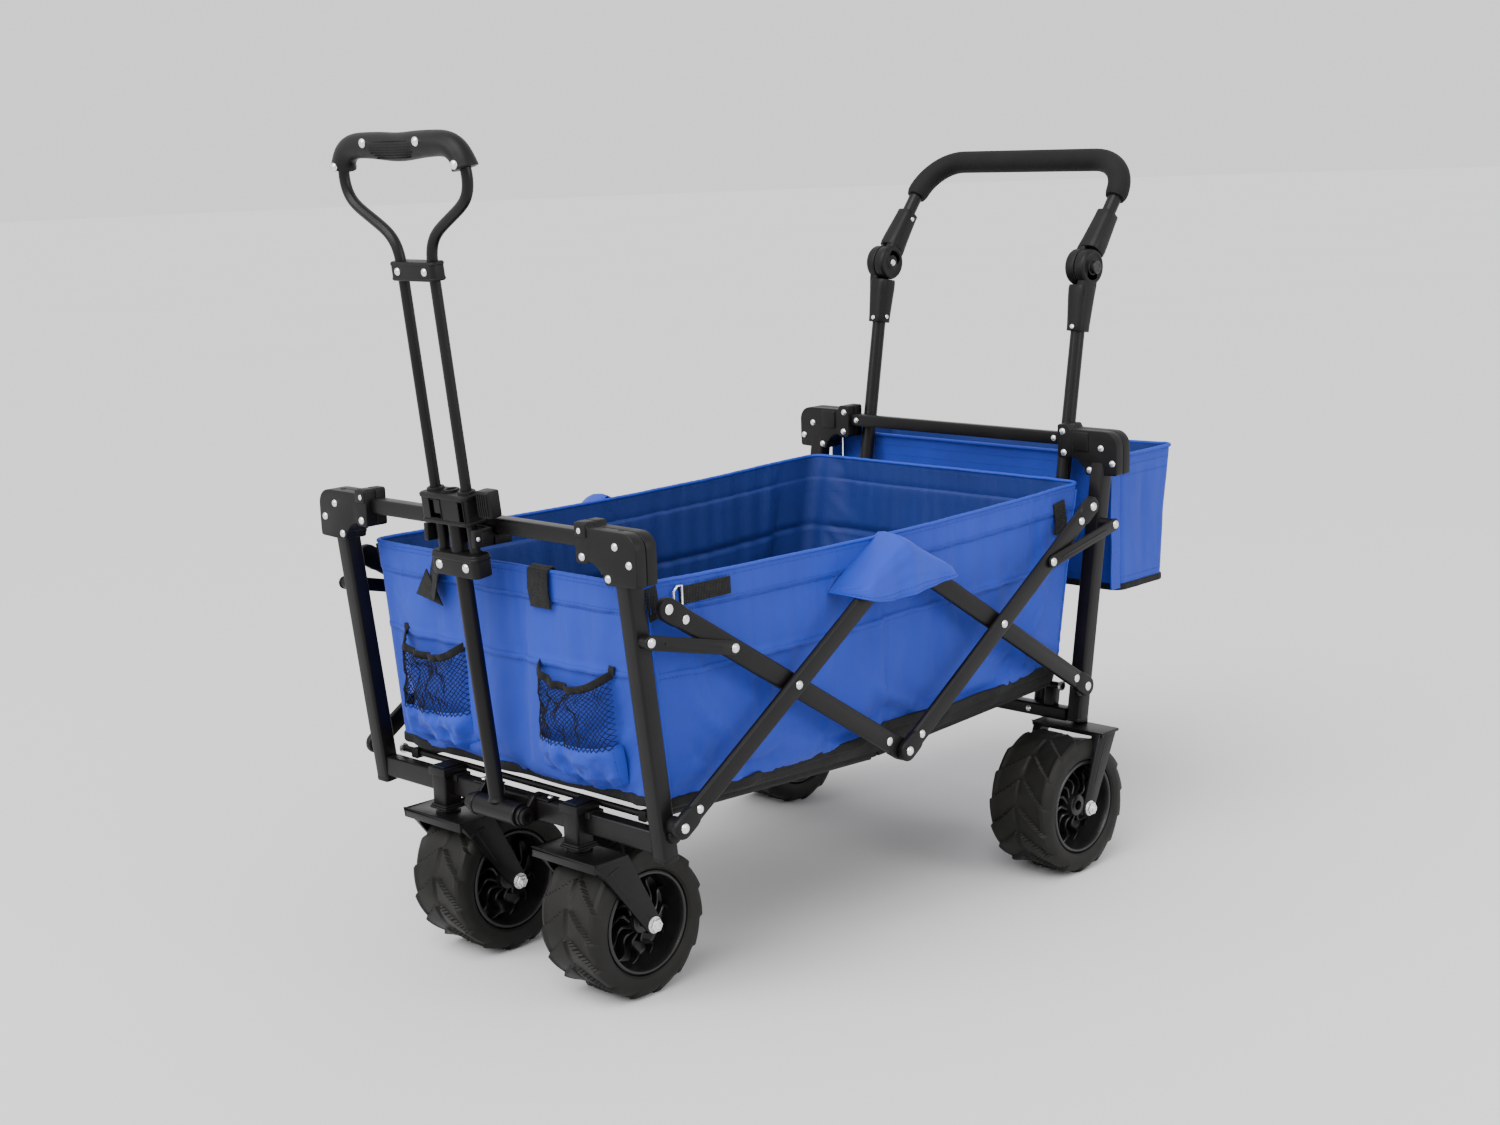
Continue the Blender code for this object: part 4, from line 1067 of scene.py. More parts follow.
def clamps():
    low = bmesh.new()
    rounded_block(low, 0.0132, 0.0400, *LOW_CLAMP, 0.0075)
    rounded_block(low, 0.0140, 0.0408, LOW_CLAMP[0] + 0.0185, LOW_CLAMP[1] - 0.0030, 0.0080)
    leaned(low, "lower_slider", PLASTIC, "pull_hoop", ("loop_clamp_lower",), bevel=0.0022, segments=3)
    high = bmesh.new()
    rounded_block(high, 0.0097, 0.0380, *TOP_CLAMP, 0.0060)
    rounded_block(high, 0.0103, 0.0386, TOP_CLAMP[1] - 0.0042, TOP_CLAMP[1] - 0.0008, 0.0064)
    rounded_block(high, 0.0103, 0.0386, TOP_CLAMP[0] + 0.0008, TOP_CLAMP[0] + 0.0040, 0.0064)
    leaned(high, "upper_bridge", PLASTIC, "pull_hoop", ("loop_clamp_upper",), bevel=0.0012, segments=3)
    heads = bmesh.new()
    for up, front in (((LOW_CLAMP[0] + LOW_CLAMP[1]) / 2 - 0.001, 0.0131),
                      ((TOP_CLAMP[0] + TOP_CLAMP[1]) / 2, 0.0096)):
        for sign in (-1, 1):
            radius = 0.0055 if front > 0.01 else 0.0046
            for way in (-1, 1):
                turned(heads, [(radius * 0.9, -0.0005), (radius, 0.0003), (radius * 0.96, radius * 0.18),
                               (radius * 0.76, radius * 0.4), (radius * 0.4, radius * 0.52),
                               (0, radius * 0.55)],
                       (way * front, sign * 0.0235, up), (way, 0, 0), 20)
    leaned(heads, "slider_rivets", ZINC, "pull_hoop", smooth=60)


def loop_path(steps=16):
    wide, bulge, neck, top = 0.1085, 0.705, 0.660, 0.762
    points = [
        (0, -TWIN_Y, LOW_CLAMP[0]), (0, -TWIN_Y, neck), (0, -wide, bulge), (0, -wide, top),
        (0, wide, top), (0, wide, bulge), (0, TWIN_Y, neck), (0, TWIN_Y, LOW_CLAMP[0]),
    ]
    return rounded(points, (0.035, 0.028, 0.030, 0.030, 0.028, 0.035), steps)


def smooth_path(path, pitch, rounds):
    """Even out a path's points, then relax its bends."""
    points = even_path(path, pitch)
    for _ in range(rounds):
        points = [points[0]] + [(points[n - 1] + points[n] * 2 + points[n + 1]) / 4
                                for n in range(1, len(points) - 1)] + [points[-1]]
    return points


def hoop():
    path = smooth_path(loop_path(), 0.004, 14)
    shape = bmesh.new()
    sweep(shape, path, round_outline(0.0062, 20))
    leaned(shape, "pull_hoop_tube", COAT, "pull_hoop", ("pull_loop",), smooth=60)
    grip(path)


def grip(path):
    """A moulded grip, fat in the middle with a swell for the fingers and a dotted pad."""
    top = [place for place in path if place.z > 0.7325]
    line = even_path(top, 0.0022)
    middle = len(line) / 2
    shape = bmesh.new()
    rings = []
    steps = 28
    for n, place in enumerate(line):
        ahead = (line[min(n + 1, len(line) - 1)] - line[max(n - 1, 0)]).normalized()
        outward = Vector((0, -ahead.z, ahead.y))
        if outward.z < 0 and abs(place.y) < 0.07:
            outward = -outward
        far = abs(n - middle) / middle
        swell = 0.0040 * math.exp(-(place.y / 0.038) ** 2)
        dip = 0.0020 * math.exp(-(place.y / 0.030) ** 2)
        flare = 0.0016 * max(0.0, (far - 0.88) / 0.12) ** 2
        radius = 0.0140 + 0.0004 * math.cos(far * math.pi)
        ring = []
        for k in range(steps):
            angle = math.tau * k / steps
            c, s = math.cos(angle), math.sin(angle)
            reach = radius + flare
            up = reach * c
            up -= dip if c > 0 else 0
            if c < 0:
                up += c * swell
            ring.append(shape.verts.new(place + outward * up + Vector((1, 0, 0)) * (reach * 0.96 * s)))
        rings.append(ring)
    for ring, other in zip(rings, rings[1:]):
        bridge(shape, ring, other)
    shape.faces.new(rings[0])
    shape.faces.new(list(reversed(rings[-1])))
    leaned(shape, "moulded_grip", PLASTIC, "pull_hoop", ("pull_grip",), bevel=0.0012, segments=2, smooth=60)
    grip_details(line)


def grip_details(line):
    dots = bmesh.new()
    for row in range(7):
        for column in range(23):
            y = (column - 11) * 0.0032 + (0.0016 if row % 2 else 0)
            z = 0.7665 - row * 0.0030
            if abs(y) / 0.037 + abs(z - 0.7585) / 0.030 > 1.12:
                continue
            depth = math.sqrt(max(0.0, 1 - ((z - 0.7605) / 0.0165) ** 2)) * 0.0134
            turned(dots, [(0.0010, -0.0006), (0.0009, 0.0004), (0.0004, 0.0008), (0, 0.0009)],
                   (-depth, y, z), (-1, 0, 0), 7)
    leaned(dots, "grip_dots", PLASTIC, "pull_hoop", smooth=60)
    heads = bmesh.new()
    ends = [line[2], line[-3]]
    for y, z in ((-0.0465, 0.7655), (0.0465, 0.7655), (ends[0].y, 0.7405), (ends[1].y, 0.7405)):
        for way in (-1, 1):
            turned(heads, [(0.0046, -0.0010), (0.0052, 0.0004), (0.0049, 0.0014), (0.0036, 0.0024),
                           (0, 0.0028)],
                   (way * 0.0131, y, z), (way, 0, 0), 20)
    leaned(heads, "grip_rivets", ZINC, "pull_hoop", smooth=60)


# Push handle

PUSH_Y = 0.176
PUSH_LEAN = math.atan(0.1835)
HANDLE_LEAN = math.radians(39)
TILT_AXIS = joint_place("push_tilt")


def tilt_side(name, node, body, axis, way, sign, layer, tip_rivet):
    """Half of a tilt joint: a round cheek, a flat neck and a tapered sleeve round its tube."""
    shape = bmesh.new()
    out = sign * layer
    start = axis + Vector((0, out * 0.0006, 0))
    turned(shape, [(0, 0), (0.0232, 0), (0.0240, 0.0012), (0.0240, 0.0118), (0.0222, 0.0145),
                   (0.0190, 0.0152), (0.0178, 0.0140), (0.0100, 0.0140), (0.0092, 0.0150), (0, 0.0150)],
           start, (0, out, 0), 44)
    path = [axis + way * far for far in (0.0245, 0.030, 0.040, 0.060, 0.078, 0.086)]
    sizes = (1.06, 1.10, 1.08, 1.0, 0.93, 0.92)
    outline = soft_box(0.0285, 0.0290, 0.0095, 5)
    sweep(shape, path, outline, Vector((0, 1, 0)), sizes=sizes)
    neck = [axis + way * far + Vector((0, out * 0.0076, 0)) for far in (0.004, 0.024, 0.040)]
    sweep(shape, neck, soft_box(0.0140, 0.0290, 0.0035, 3), Vector((0, 1, 0)), sizes=(1.0, 1.0, 0.9))
    made = finish_piece(name, shape, PLASTIC, body, (node,), 0.0009, 2, 40)
    spot = axis + way * tip_rivet
    turned(hardware(body), [(0.0030, 0), (0.0033, 0.0004), (0.0026, 0.0014), (0, 0.0018)],
           spot + Vector((-0.0139, 0, 0)), (-1, 0, 0.2), 14)
    turned(hardware(body), [(0.0030, 0), (0.0033, 0.0004), (0.0026, 0.0014), (0, 0.0018)],
           spot + Vector((0, sign * -0.0134, 0)), (0, -sign, 0), 14)
    return made


def push_uprights():
    for side, sign in SIDES:
        axis = Vector((TILT_AXIS.x, sign * PUSH_Y, TILT_AXIS.z))
        down = Vector((-math.sin(PUSH_LEAN), 0, -math.cos(PUSH_LEAN)))
        foot = (TILT_AXIS.z - 0.186) / math.cos(PUSH_LEAN)
        shape = bmesh.new()
        sweep(shape, [axis + down * foot, axis + down * 0.033], round_outline(0.0095, 28))
        finish_piece("push_upright_" + side, shape, COAT, "rear_frame", ("push_tube_" + side,), smooth=50)
        tilt_side("tilt_joint_lower_" + side, "tilt_base_" + side, "rear_frame", axis, down, sign, 1, 0.078)
        cap = bmesh.new()
        turned(cap, [(0, 0), (0.0088, 0), (0.0088, 0.0070), (0.0080, 0.0080), (0.0052, 0.0080),
                     (0.0048, 0.0074), (0, 0.0074)], axis + Vector((0, sign * 0.0146, 0)), (0, sign, 0), 28)
        finish_piece("tilt_release_" + side, cap, HUB, "button_" + side, ("tilt_button_" + side,), smooth=35)
        saddle = bmesh.new()
        sweep(saddle, [at(0.8135, sign * PUSH_Y, 0.5515), at(0.8235, sign * PUSH_Y, 0.5515)],
              soft_box(0.0150, 0.0150, 0.003, 3), Vector((0, 1, 0)))
        finish_piece("upright_saddle_" + side, saddle, PLASTIC, "rear_frame", bevel=0.0006, segments=1)


def push_bow():
    way = Vector((math.sin(HANDLE_LEAN), 0, math.cos(HANDLE_LEAN)))
    middle = Vector((TILT_AXIS.x, 0, TILT_AXIS.z))
    for side, sign in SIDES:
        axis = Vector((TILT_AXIS.x, sign * PUSH_Y, TILT_AXIS.z))
        tilt_side("tilt_joint_upper_" + side, "tilt_head_" + side, "push_handle", axis, way, sign, -1, 0.076)
        turned(hardware("push_handle"), [(0.0044, 0), (0.0048, 0.0005), (0.0036, 0.0018), (0, 0.0022)],
               axis + Vector((0, -sign * 0.0156, 0)), (0, -sign, 0), 18)
    arm = Vector((0, PUSH_Y, 0))
    low, high = middle + way * 0.033, middle + way * 0.177
    path = rounded([low - arm, high - arm, high + arm, low + arm], (0.060, 0.060), 16)
    shape = bmesh.new()
    sweep(shape, path, round_outline(0.0095, 24))
    finish_piece("push_bow_tube", shape, COAT, "push_handle", ("push_bar",), smooth=60)
    start = middle + way * 0.113
    top = even_path([start - arm, *path[1:-1], start + arm], 0.005)
    sizes = [1.0] * len(top)
    for n, size in enumerate((0.86, 0.97)):
        sizes[n] = sizes[-1 - n] = size
    sleeve = bmesh.new()
    sweep(sleeve, top, round_outline(0.0155, 28), sizes=sizes)
    finish_piece("push_foam_sleeve", sleeve, FOAM, "push_handle", ("push_foam",), smooth=60)


# Soft goods

CLOTH_Y = 0.2365
CORNER_R = 0.018
RIM_UP = 0.5005
FRONT_WALL, REAR_WALL = (0.010, -0.012), (0.728, 0.779)
WALL_UP = (0.243, 0.502)
SKIRT = ((-0.007, 0.2490), (0.126, 0.2480), (0.225, 0.2480), (0.329, 0.2500), (0.384, 0.2560),
         (0.518, 0.2540), (0.598, 0.2570), (0.682, 0.2600), (0.758, 0.2630))
HEM_UP = 0.4665
SEAM_UP = 0.3955
CLOTH_THICK = 0.0022
SEAM_AT = {"front_corner": 0.8, "rear_corner": 0.4}  # where a corded seam runs, as a share of a corner's turn


def table_at(rows, x):
    if x <= rows[0][0]:
        return rows[0][1]
    for (a, low), (b, high) in zip(rows, rows[1:]):
        if x <= b:
            share = (x - a) / (b - a)
            return low + (high - low) * share * share * (3 - 2 * share)
    return rows[-1][1]


def wall_at(ends, up):
    share = (up - WALL_UP[0]) / (WALL_UP[1] - WALL_UP[0])
    return ends[0] + (ends[1] - ends[0]) * share


def tub_columns():
    """Stations round the tub as (kind, sign, value), starting in the middle of the front."""
    pitch = 0.0062
    flat = int((CLOTH_Y - CORNER_R) / pitch)
    side = int(0.72 / pitch)
    columns = [("front", 0, -(CLOTH_Y - CORNER_R) * n / flat) for n in range(flat)]
    columns += [("front_corner", -1, n / 5) for n in range(6)]
    columns += [("side", -1, n / side) for n in range(1, side)]
    columns += [("rear_corner", -1, n / 5) for n in range(6)]
    columns += [("rear", 0, (CLOTH_Y - CORNER_R) * (n / flat - 1)) for n in range(1, 2 * flat)]
    columns += [("rear_corner", 1, 1 - n / 5) for n in range(6)]
    columns += [("side", 1, 1 - n / side) for n in range(1, side)]
    columns += [("front_corner", 1, 1 - n / 5) for n in range(6)]
    columns += [("front", 0, (CLOTH_Y - CORNER_R) * (1 - n / flat)) for n in range(1, flat)]
    return columns


def tub_place(column, up):
    kind, sign, value = column
    front, rear = wall_at(FRONT_WALL, up), wall_at(REAR_WALL, up)
    inner = CLOTH_Y - CORNER_R
    if kind == "front":
        return Vector((front, value, up))
    if kind == "rear":
        return Vector((rear, value, up))
    if kind == "side":
        return Vector((front + CORNER_R + (rear - front - 2 * CORNER_R) * value, sign * CLOTH_Y, up))
    turn = value * math.pi / 2
    if kind == "front_corner":
        across = sign * (inner + CORNER_R * math.sin(turn))
        return Vector((front + CORNER_R * (1 - math.cos(turn)), across, up))
    return Vector((rear - CORNER_R * (1 - math.sin(turn)), sign * (inner + CORNER_R * math.cos(turn)), up))


def tub_rows():
    shares = [n / 33 for n in range(34)]
    hem = (HEM_UP - 0.248) / (RIM_UP - 0.248)
    seam = (SEAM_UP - 0.248) / (RIM_UP - 0.248)
    extra = [hem - 0.003, hem + 0.003, seam - 0.016, seam - 0.010, seam + 0.010, seam + 0.016]
    return sorted([share for share in shares if all(abs(share - e) > 0.008 for e in extra)] + extra)


def rim_up(x):
    return RIM_UP - 0.0065 * max(0.0, math.sin(math.pi * min(max((x + 0.01) / 0.79, 0), 1))) ** 1.5


def tub_grid():
    """The tub's cloth as rows from the skirt to the rim, slack at the rim but not yet creased."""
    columns, rows = tub_columns(), tub_rows()
    grid = []
    for share in rows:
        line = []
        for column in columns:
            low_place = tub_place(column, 0.250)
            skirt = table_at(SKIRT, low_place.x)
            if column[0] == "front":
                skirt += 0.0012 * math.sin(low_place.y * 31)
            up = skirt + (rim_up(low_place.x) - skirt) * share
            line.append(tub_place(column, up))
        grid.append(line)
    return columns, rows, grid


def edge_ease(place):
    """0 beside the posts, 1 out in the open stretch of a wall."""
    x, y = place.x, abs(place.y)
    if y > 0.2:
        ease = min((x - 0.016) / 0.055, (0.735 - x) / 0.055)
    else:
        ease = (0.225 - y) / 0.05
    ease = max(0.0, min(1.0, ease))
    return ease * ease * (3 - 2 * ease)


def creases(place, share):
    """How far the cloth stands out from its flat wall, in metres."""
    x, y, z = place
    on_side = abs(y) > 0.2
    run = x * (1 if y < 0 else 1.07) + (0.4 if y > 0 else 0) if on_side else y + 2.0 + (x > 0.4) * 3
    tall = math.sin(math.pi * min(max(share, 0.0), 1.0))
    puff = (0.0062 if on_side else 0.0036) * tall
    wave = 0.0072 * noise.noise(Vector((run * 8.5, z * 5.0, 2.0))) * (0.25 + 0.75 * tall)
    small = 0.0026 * noise.noise(Vector((run * 24, z * 14, 7.0))) * (0.4 + 0.6 * tall)
    slant = noise.noise(Vector((run * 6 + z * 9, z * 5 - run * 4, 11.0)))
    fold = 0.0075 * max(0.0, 1 - abs(slant) * 5.0) * max(0.0, 1 - share * 1.15)
    made = puff + wave + small + fold
    if on_side:
        made -= 0.0034 * math.exp(-((x - 0.379) / 0.0055) ** 2) * max(0.0, min(1.0, (0.80 - share) * 6))
        made += 0.0020 * math.exp(-((x - 0.366) / 0.0090) ** 2) * max(0.0, min(1.0, (0.80 - share) * 6))
        lean = x - 0.060 - (z - 0.25) * 0.28
        made += 0.0030 * math.exp(-(lean / 0.010) ** 2) * max(0.0, 1 - share * 1.7)
    elif x < 0.4:
        lean = y + 0.030 + (z - 0.37) * 0.10
        made -= 0.0030 * math.exp(-(lean / 0.020) ** 2) * (0.35 + 0.65 * tall)
        made += 0.0022 * math.exp(-((y - 0.012) / 0.022) ** 2)
    return made


def wall_way(column):
    kind, sign, value = column
    if kind == "front":
        return Vector((-1, 0, 0))
    if kind == "rear":
        return Vector((1, 0, 0))
    if kind == "side":
        return Vector((0, sign, 0))
    turn = value * math.pi / 2
    if kind == "front_corner":
        return Vector((-math.cos(turn), sign * math.sin(turn), 0))
    return Vector((math.sin(turn), sign * math.cos(turn), 0))


def settle(grid, hold, frames=24):
    """Let a closed ring of cloth hang under its own weight. Hold gives how firmly a point is sewn."""
    rows, count = len(grid), len(grid[0])
    mesh = bpy.data.meshes.new("settling")
    faces = [(r * count + c, r * count + (c + 1) % count,
              (r + 1) * count + (c + 1) % count, (r + 1) * count + c)
             for r in range(rows - 1) for c in range(count)]
    mesh.from_pydata([place for line in grid for place in line], [], faces)
    piece = bpy.data.objects.new("settling", mesh)
    bpy.context.scene.collection.objects.link(piece)
    sewn = piece.vertex_groups.new(name="sewn")
    for r in range(rows):
        for c in range(count):
            sewn.add([r * count + c], hold(r, c), "REPLACE")
    cloth = piece.modifiers.new("cloth", "CLOTH")
    facts = cloth.settings
    facts.quality, facts.mass, facts.air_damping = 6, 0.25, 3.0
    facts.tension_stiffness = facts.compression_stiffness = 22
    facts.shear_stiffness, facts.bending_stiffness = 9, 0.8
    facts.vertex_group_mass = "sewn"
    facts.pin_stiffness = 1.0
    facts.shrink_min = -0.014
    cloth.point_cache.frame_start, cloth.point_cache.frame_end = 1, frames
    for frame_number in range(1, frames + 1):
        bpy.context.scene.frame_set(frame_number)
    ready = piece.evaluated_get(bpy.context.evaluated_depsgraph_get())
    places = [v.co.copy() for v in ready.data.vertices]
    bpy.data.objects.remove(piece, do_unlink=True)
    bpy.data.meshes.remove(mesh)
    bpy.context.scene.frame_set(1)
    return [places[r * count:(r + 1) * count] for r in range(rows)]


def capped(grid, before, columns):
    """Keep settled cloth near its wall and clear of the posts and bars."""
    made = []
    for line, old_line in zip(grid, before):
        row = []
        for column, place, old in zip(columns, line, old_line):
            ease = edge_ease(old)
            room = 0.0008 + 0.0110 * ease
            move = place - old
            if move.length > room:
                move *= room / move.length
            spot = old + move
            if column[0] == "side":
                most = 0.2380 + 0.0215 * ease
                spot.y = max(-most, min(most, spot.y))
            row.append(spot)
        made.append(row)
    return made


def tub_cloth():
    columns, rows, flat = tub_grid()
    loose = []
    for share, line in zip(rows, flat):
        loose.append([place + wall_way(column) * creases(place, share) * edge_ease(place)
                      for column, place in zip(columns, line)])
    last = len(rows) - 1

    def hold(r, c):
        if r in (0, last):
            return 1.0 if columns[c][0] != "side" or r == 0 else 0.9
        return 1.0 - 0.96 * edge_ease(flat[r][c])

    loose = capped(settle(loose, hold), loose, columns)
    return columns, rows, [[place + Vector((START, 0, 0)) for place in line] for line in loose]


def grid_normals(grid, closed):
    rows, count = len(grid), len(grid[0])
    found = []
    for r in range(rows):
        line = []
        for c in range(count):
            up = grid[min(r + 1, rows - 1)][c] - grid[max(r - 1, 0)][c]
            if closed:
                across = grid[r][(c + 1) % count] - grid[r][c - 1]
            else:
                across = grid[r][min(c + 1, count - 1)] - grid[r][max(c - 1, 0)]
            line.append(across.cross(up).normalized())
        found.append(line)
    return found


def lengths(points):
    total = [0.0]
    for a, b in zip(points, points[1:]):
        total.append(total[-1] + (b - a).length)
    return total


def box_marks(left, right, low, high):
    """UVs of the corners of one cell of a sheet."""
    return [(left, low), (right, low), (right, high), (left, high)]


def sheet_shape(grid, thick, closed=False, flip=1):
    """A cloth with its face on the grid, its back behind that, and UVs in metres."""
    rows, count = len(grid), len(grid[0])
    normals = grid_normals(grid, closed)
    shape = bmesh.new()
    layer = shape.loops.layers.uv.new("metres")
    face = [[shape.verts.new(place) for place in line] for line in grid]
    back = [[shape.verts.new(place - way * (thick * flip)) for place, way in zip(line, ways)]
            for line, ways in zip(grid, normals)]
    middle = grid[rows // 2]
    across = lengths(middle + [middle[0]] if closed else middle)
    up = lengths([line[0] for line in grid])

    def patch(corners, marks, slot):
        made = shape.faces.new(corners)
        made.material_index = slot
        for loop, mark in zip(made.loops, marks):
            loop[layer].uv = mark

    for r in range(rows - 1):
        for c in range(count if closed else count - 1):
            after = (c + 1) % count
            marks = box_marks(across[c], across[c + 1], up[r], up[r + 1])
            patch([face[r][c], face[r][after], face[r + 1][after], face[r + 1][c]], marks, 0)
            # The back skin takes slot 1, the darker lining that carries painted shade.
            patch([back[r][c], back[r + 1][c], back[r + 1][after], back[r][after]],
                  [marks[0], marks[3], marks[2], marks[1]], 1)
    for r in (0, rows - 1):
        for c in range(count if closed else count - 1):
            after = (c + 1) % count
            marks = box_marks(across[c], across[c + 1], up[r], up[r] + thick)
            patch([face[r][c], face[r][after], back[r][after], back[r][c]], marks, 0)
    if not closed:
        for c in (0, count - 1):
            for r in range(rows - 1):
                marks = [(across[c], up[r]), (across[c], up[r + 1]),
                         (across[c] + thick, up[r + 1]), (across[c] + thick, up[r])]
                patch([face[r][c], face[r + 1][c], back[r + 1][c], back[r][c]], marks, 0)
    return shape


def dashes(shape, points, normals, length=0.0036, gap=0.0016, width=0.0010, lift=0.0002):
    """Stitches along a line of points on a cloth."""
    run = lengths(points)
    far, n = 0.0, 0

    def at_run(value):
        nonlocal n
        while n < len(run) - 2 and run[n + 1] < value:
            n += 1
        share = (value - run[n]) / max(run[n + 1] - run[n], 1e-9)
        return points[n].lerp(points[n + 1], share), normals[n]

    while far + length < run[-1]:
        start, way = at_run(far)
        end, _ = at_run(far + length)
        along = (end - start).normalized()
        side = along.cross(way).normalized() * (width / 2)
        middle = (start + end) / 2 + way * (lift + 0.0003)
        ring = [shape.verts.new(p) for p in (start + way * lift, middle + side - way * 0.0002,
                                             end + way * lift,
                                             middle - side - way * 0.0002)]
        top, low = shape.verts.new(middle + way * 0.00022), shape.verts.new(middle - way * 0.0006)
        for k in range(4):
            shape.faces.new((ring[k], ring[(k + 1) % 4], top))
            shape.faces.new((ring[(k + 1) % 4], ring[k], low))
        far += length + gap


def fold_away(piece):
    """Give a cloth piece its own copy of its mesh."""
    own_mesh(piece)
    return piece


def row_at(grid, rows, share):
    """The line round the tub at a share of its height."""
    for r in range(len(rows) - 1):
        if rows[r + 1] >= share:
            part = (share - rows[r]) / (rows[r + 1] - rows[r])
            return [a.lerp(b, part) for a, b in zip(grid[r], grid[r + 1])]
    return list(grid[-1])


def tub():
    columns, rows, grid = tub_cloth()
    normals = grid_normals(grid, True)
    flip = 1 if normals[10][5].x < 0 else -1
    ways = [[way * flip for way in line] for line in normals]
    hem = (HEM_UP - 0.248) / (RIM_UP - 0.248)
    seam = (SEAM_UP - 0.248) / (RIM_UP - 0.248)
    raised = []
    for share, line, line_ways in zip(rows, grid, ways):
        lift = 0.0030 if share > hem else 0.0
        if abs(share - seam) < 0.0125:
            lift = 0.0018
        raised.append([place + way * (lift * (0.4 + 0.6 * edge_ease(place - Vector((START, 0, 0)))))
                       for place, way in zip(line, line_ways)])
    shape = sheet_shape(raised, CLOTH_THICK, True, flip)
    body = finish_piece("tub_cloth", shape, (CLOTH, LINING_WITH_SHADE), "front_frame", ("tub_walls",), smooth=80)
    trims = [tub_trims(raised), tub_stitches(columns, rows, raised, ways, hem, seam)]
    trims += [seam_lines(columns, rows, raised, ways)]
    trims += [floor_edge(raised)]
    fold_away(body)
    return columns, rows, raised, ways


def board_up(x):
    """Height of the boards' padded rim under a station of the tub."""
    if x < 0.3740:
        return 0.2420 - 0.0150 * (x - 0.0290) / 0.3450
    return 0.2270 + 0.0150 * (x - 0.3740) / 0.3450


def floor_edge(grid):
    """Black cloth from the skirt down and in to the rim of the floor boards."""
    lines = []
    for step in range(5):
        share, line = step / 4, []
        for place in grid[0]:
            x = min(max(place.x - START, 0.0262), 0.7222)
            low = at(x, min(max(place.y, -0.2292), 0.2292), board_up(x))
            sag = 0.0022 * math.sin(math.pi * share)
            line.append(place.lerp(low, share) - Vector((0, 0, sag)))
        lines.append(line)
    lines.reverse()
    shape = sheet_shape(lines, 0.0010, True, 1)
    return fold_away(finish_piece("tub_floor_edge", shape, (TAPE, TAPE), "front_frame", smooth=60))


def tub_trims(grid):
    tape = bmesh.new()
    low = [place + Vector((0, 0, 0.0022)) for place in grid[0]]
    sweep(tape, low, soft_box(0.0115, 0.0052, 0.0022, 3), Vector((0, 0, 1)), closed=True)
    return fold_away(finish_piece("tub_skirt_binding", tape, TAPE, "front_frame", smooth=60))


def tub_stitches(columns, rows, grid, ways, hem, seam):
    shape = bmesh.new()
    for share in (hem - 0.012, hem + 0.016, seam - 0.0135, seam + 0.0135, 0.975):
        line = row_at(grid, rows, share)
        near = min(range(len(rows)), key=lambda r: abs(rows[r] - share))
        dashes(shape, line + [line[0]], ways[near] + [ways[near][0]])
    inner = bmesh.new()
    backs = [[place - way * CLOTH_THICK for place, way in zip(line, line_ways)]
             for line, line_ways in zip(grid, ways)]
    for share in (0.30, 0.55, 0.80, 0.86, 0.975):
        line = row_at(backs, rows, share)
        near = min(range(len(rows)), key=lambda r: abs(rows[r] - share))
        dashes(inner, line + [line[0]], [-way for way in ways[near]] + [-ways[near][0]])
    for sign in (-1, 1):
        marks = ((0.300, 0.70), (0.3725, 0.95), (0.445, 0.70))
        for first, last in zip(marks, marks[1:]):
            points, facing = wall_line(columns, rows, backs, ways, sign, first, last)
            dashes(inner, points, facing)
    made = finish_piece("tub_stitches", shape, STITCH, "front_frame", smooth=20)
    lining = finish_piece("lining_stitches", inner, STITCH, "front_frame", smooth=20)
    fold_away(lining)
    return fold_away(made)


def wall_line(columns, rows, backs, ways, sign, first, last, steps=24):
    """Points and facings along a slanting line on the inside of a side wall."""
    side = [c for c, column in enumerate(columns) if column[0] == "side" and column[1] == sign]
    points, facing = [], []
    for step in range(steps + 1):
        part = step / steps
        x, share = first[0] + (last[0] - first[0]) * part, first[1] + (last[1] - first[1]) * part
        c = min(side, key=lambda n: abs(backs[-1][n].x - START - x))
        r = next(n for n in range(len(rows) - 1) if rows[n + 1] >= share)
        up = (share - rows[r]) / (rows[r + 1] - rows[r])
        place = backs[r][c].lerp(backs[r + 1][c], up)
        place.x = START + x
        points.append(place)
        facing.append(-ways[r][c])
    return points, facing


def seam_lines(columns, rows, grid, ways):
    """A corded seam down each corner, and a rolled edge round the rim."""
    shape = bmesh.new()
    for c, column in enumerate(columns):
        if column[0] in SEAM_AT and abs(column[2] - SEAM_AT[column[0]]) < 0.01:
            line = [grid[r][c] + ways[r][c] * 0.0004 for r in range(1, len(rows) - 1)]
            sweep(shape, line, round_outline(0.0019, 8), Vector((0, 1, 0)))
    rim = [place - way * (CLOTH_THICK * 0.5) for place, way in zip(grid[-1], ways[-1])]
    sweep(shape, rim, round_outline(0.0024, 10), Vector((0, 0, 1)), closed=True)
    return fold_away(finish_piece("tub_corded_seams", shape, CLOTH_PLAIN, "front_frame", smooth=60))


# Covers over the scissor's middle joints


FLAP_PROFILE = ((0.0, 0.2390, 0.4975), (0.12, 0.2500, 0.4985), (0.28, 0.2680, 0.4965), (0.42, 0.2815, 0.4905),
                (0.55, 0.2868, 0.4800), (0.75, 0.2895, 0.4580), (1.0, 0.2908, 0.4300))


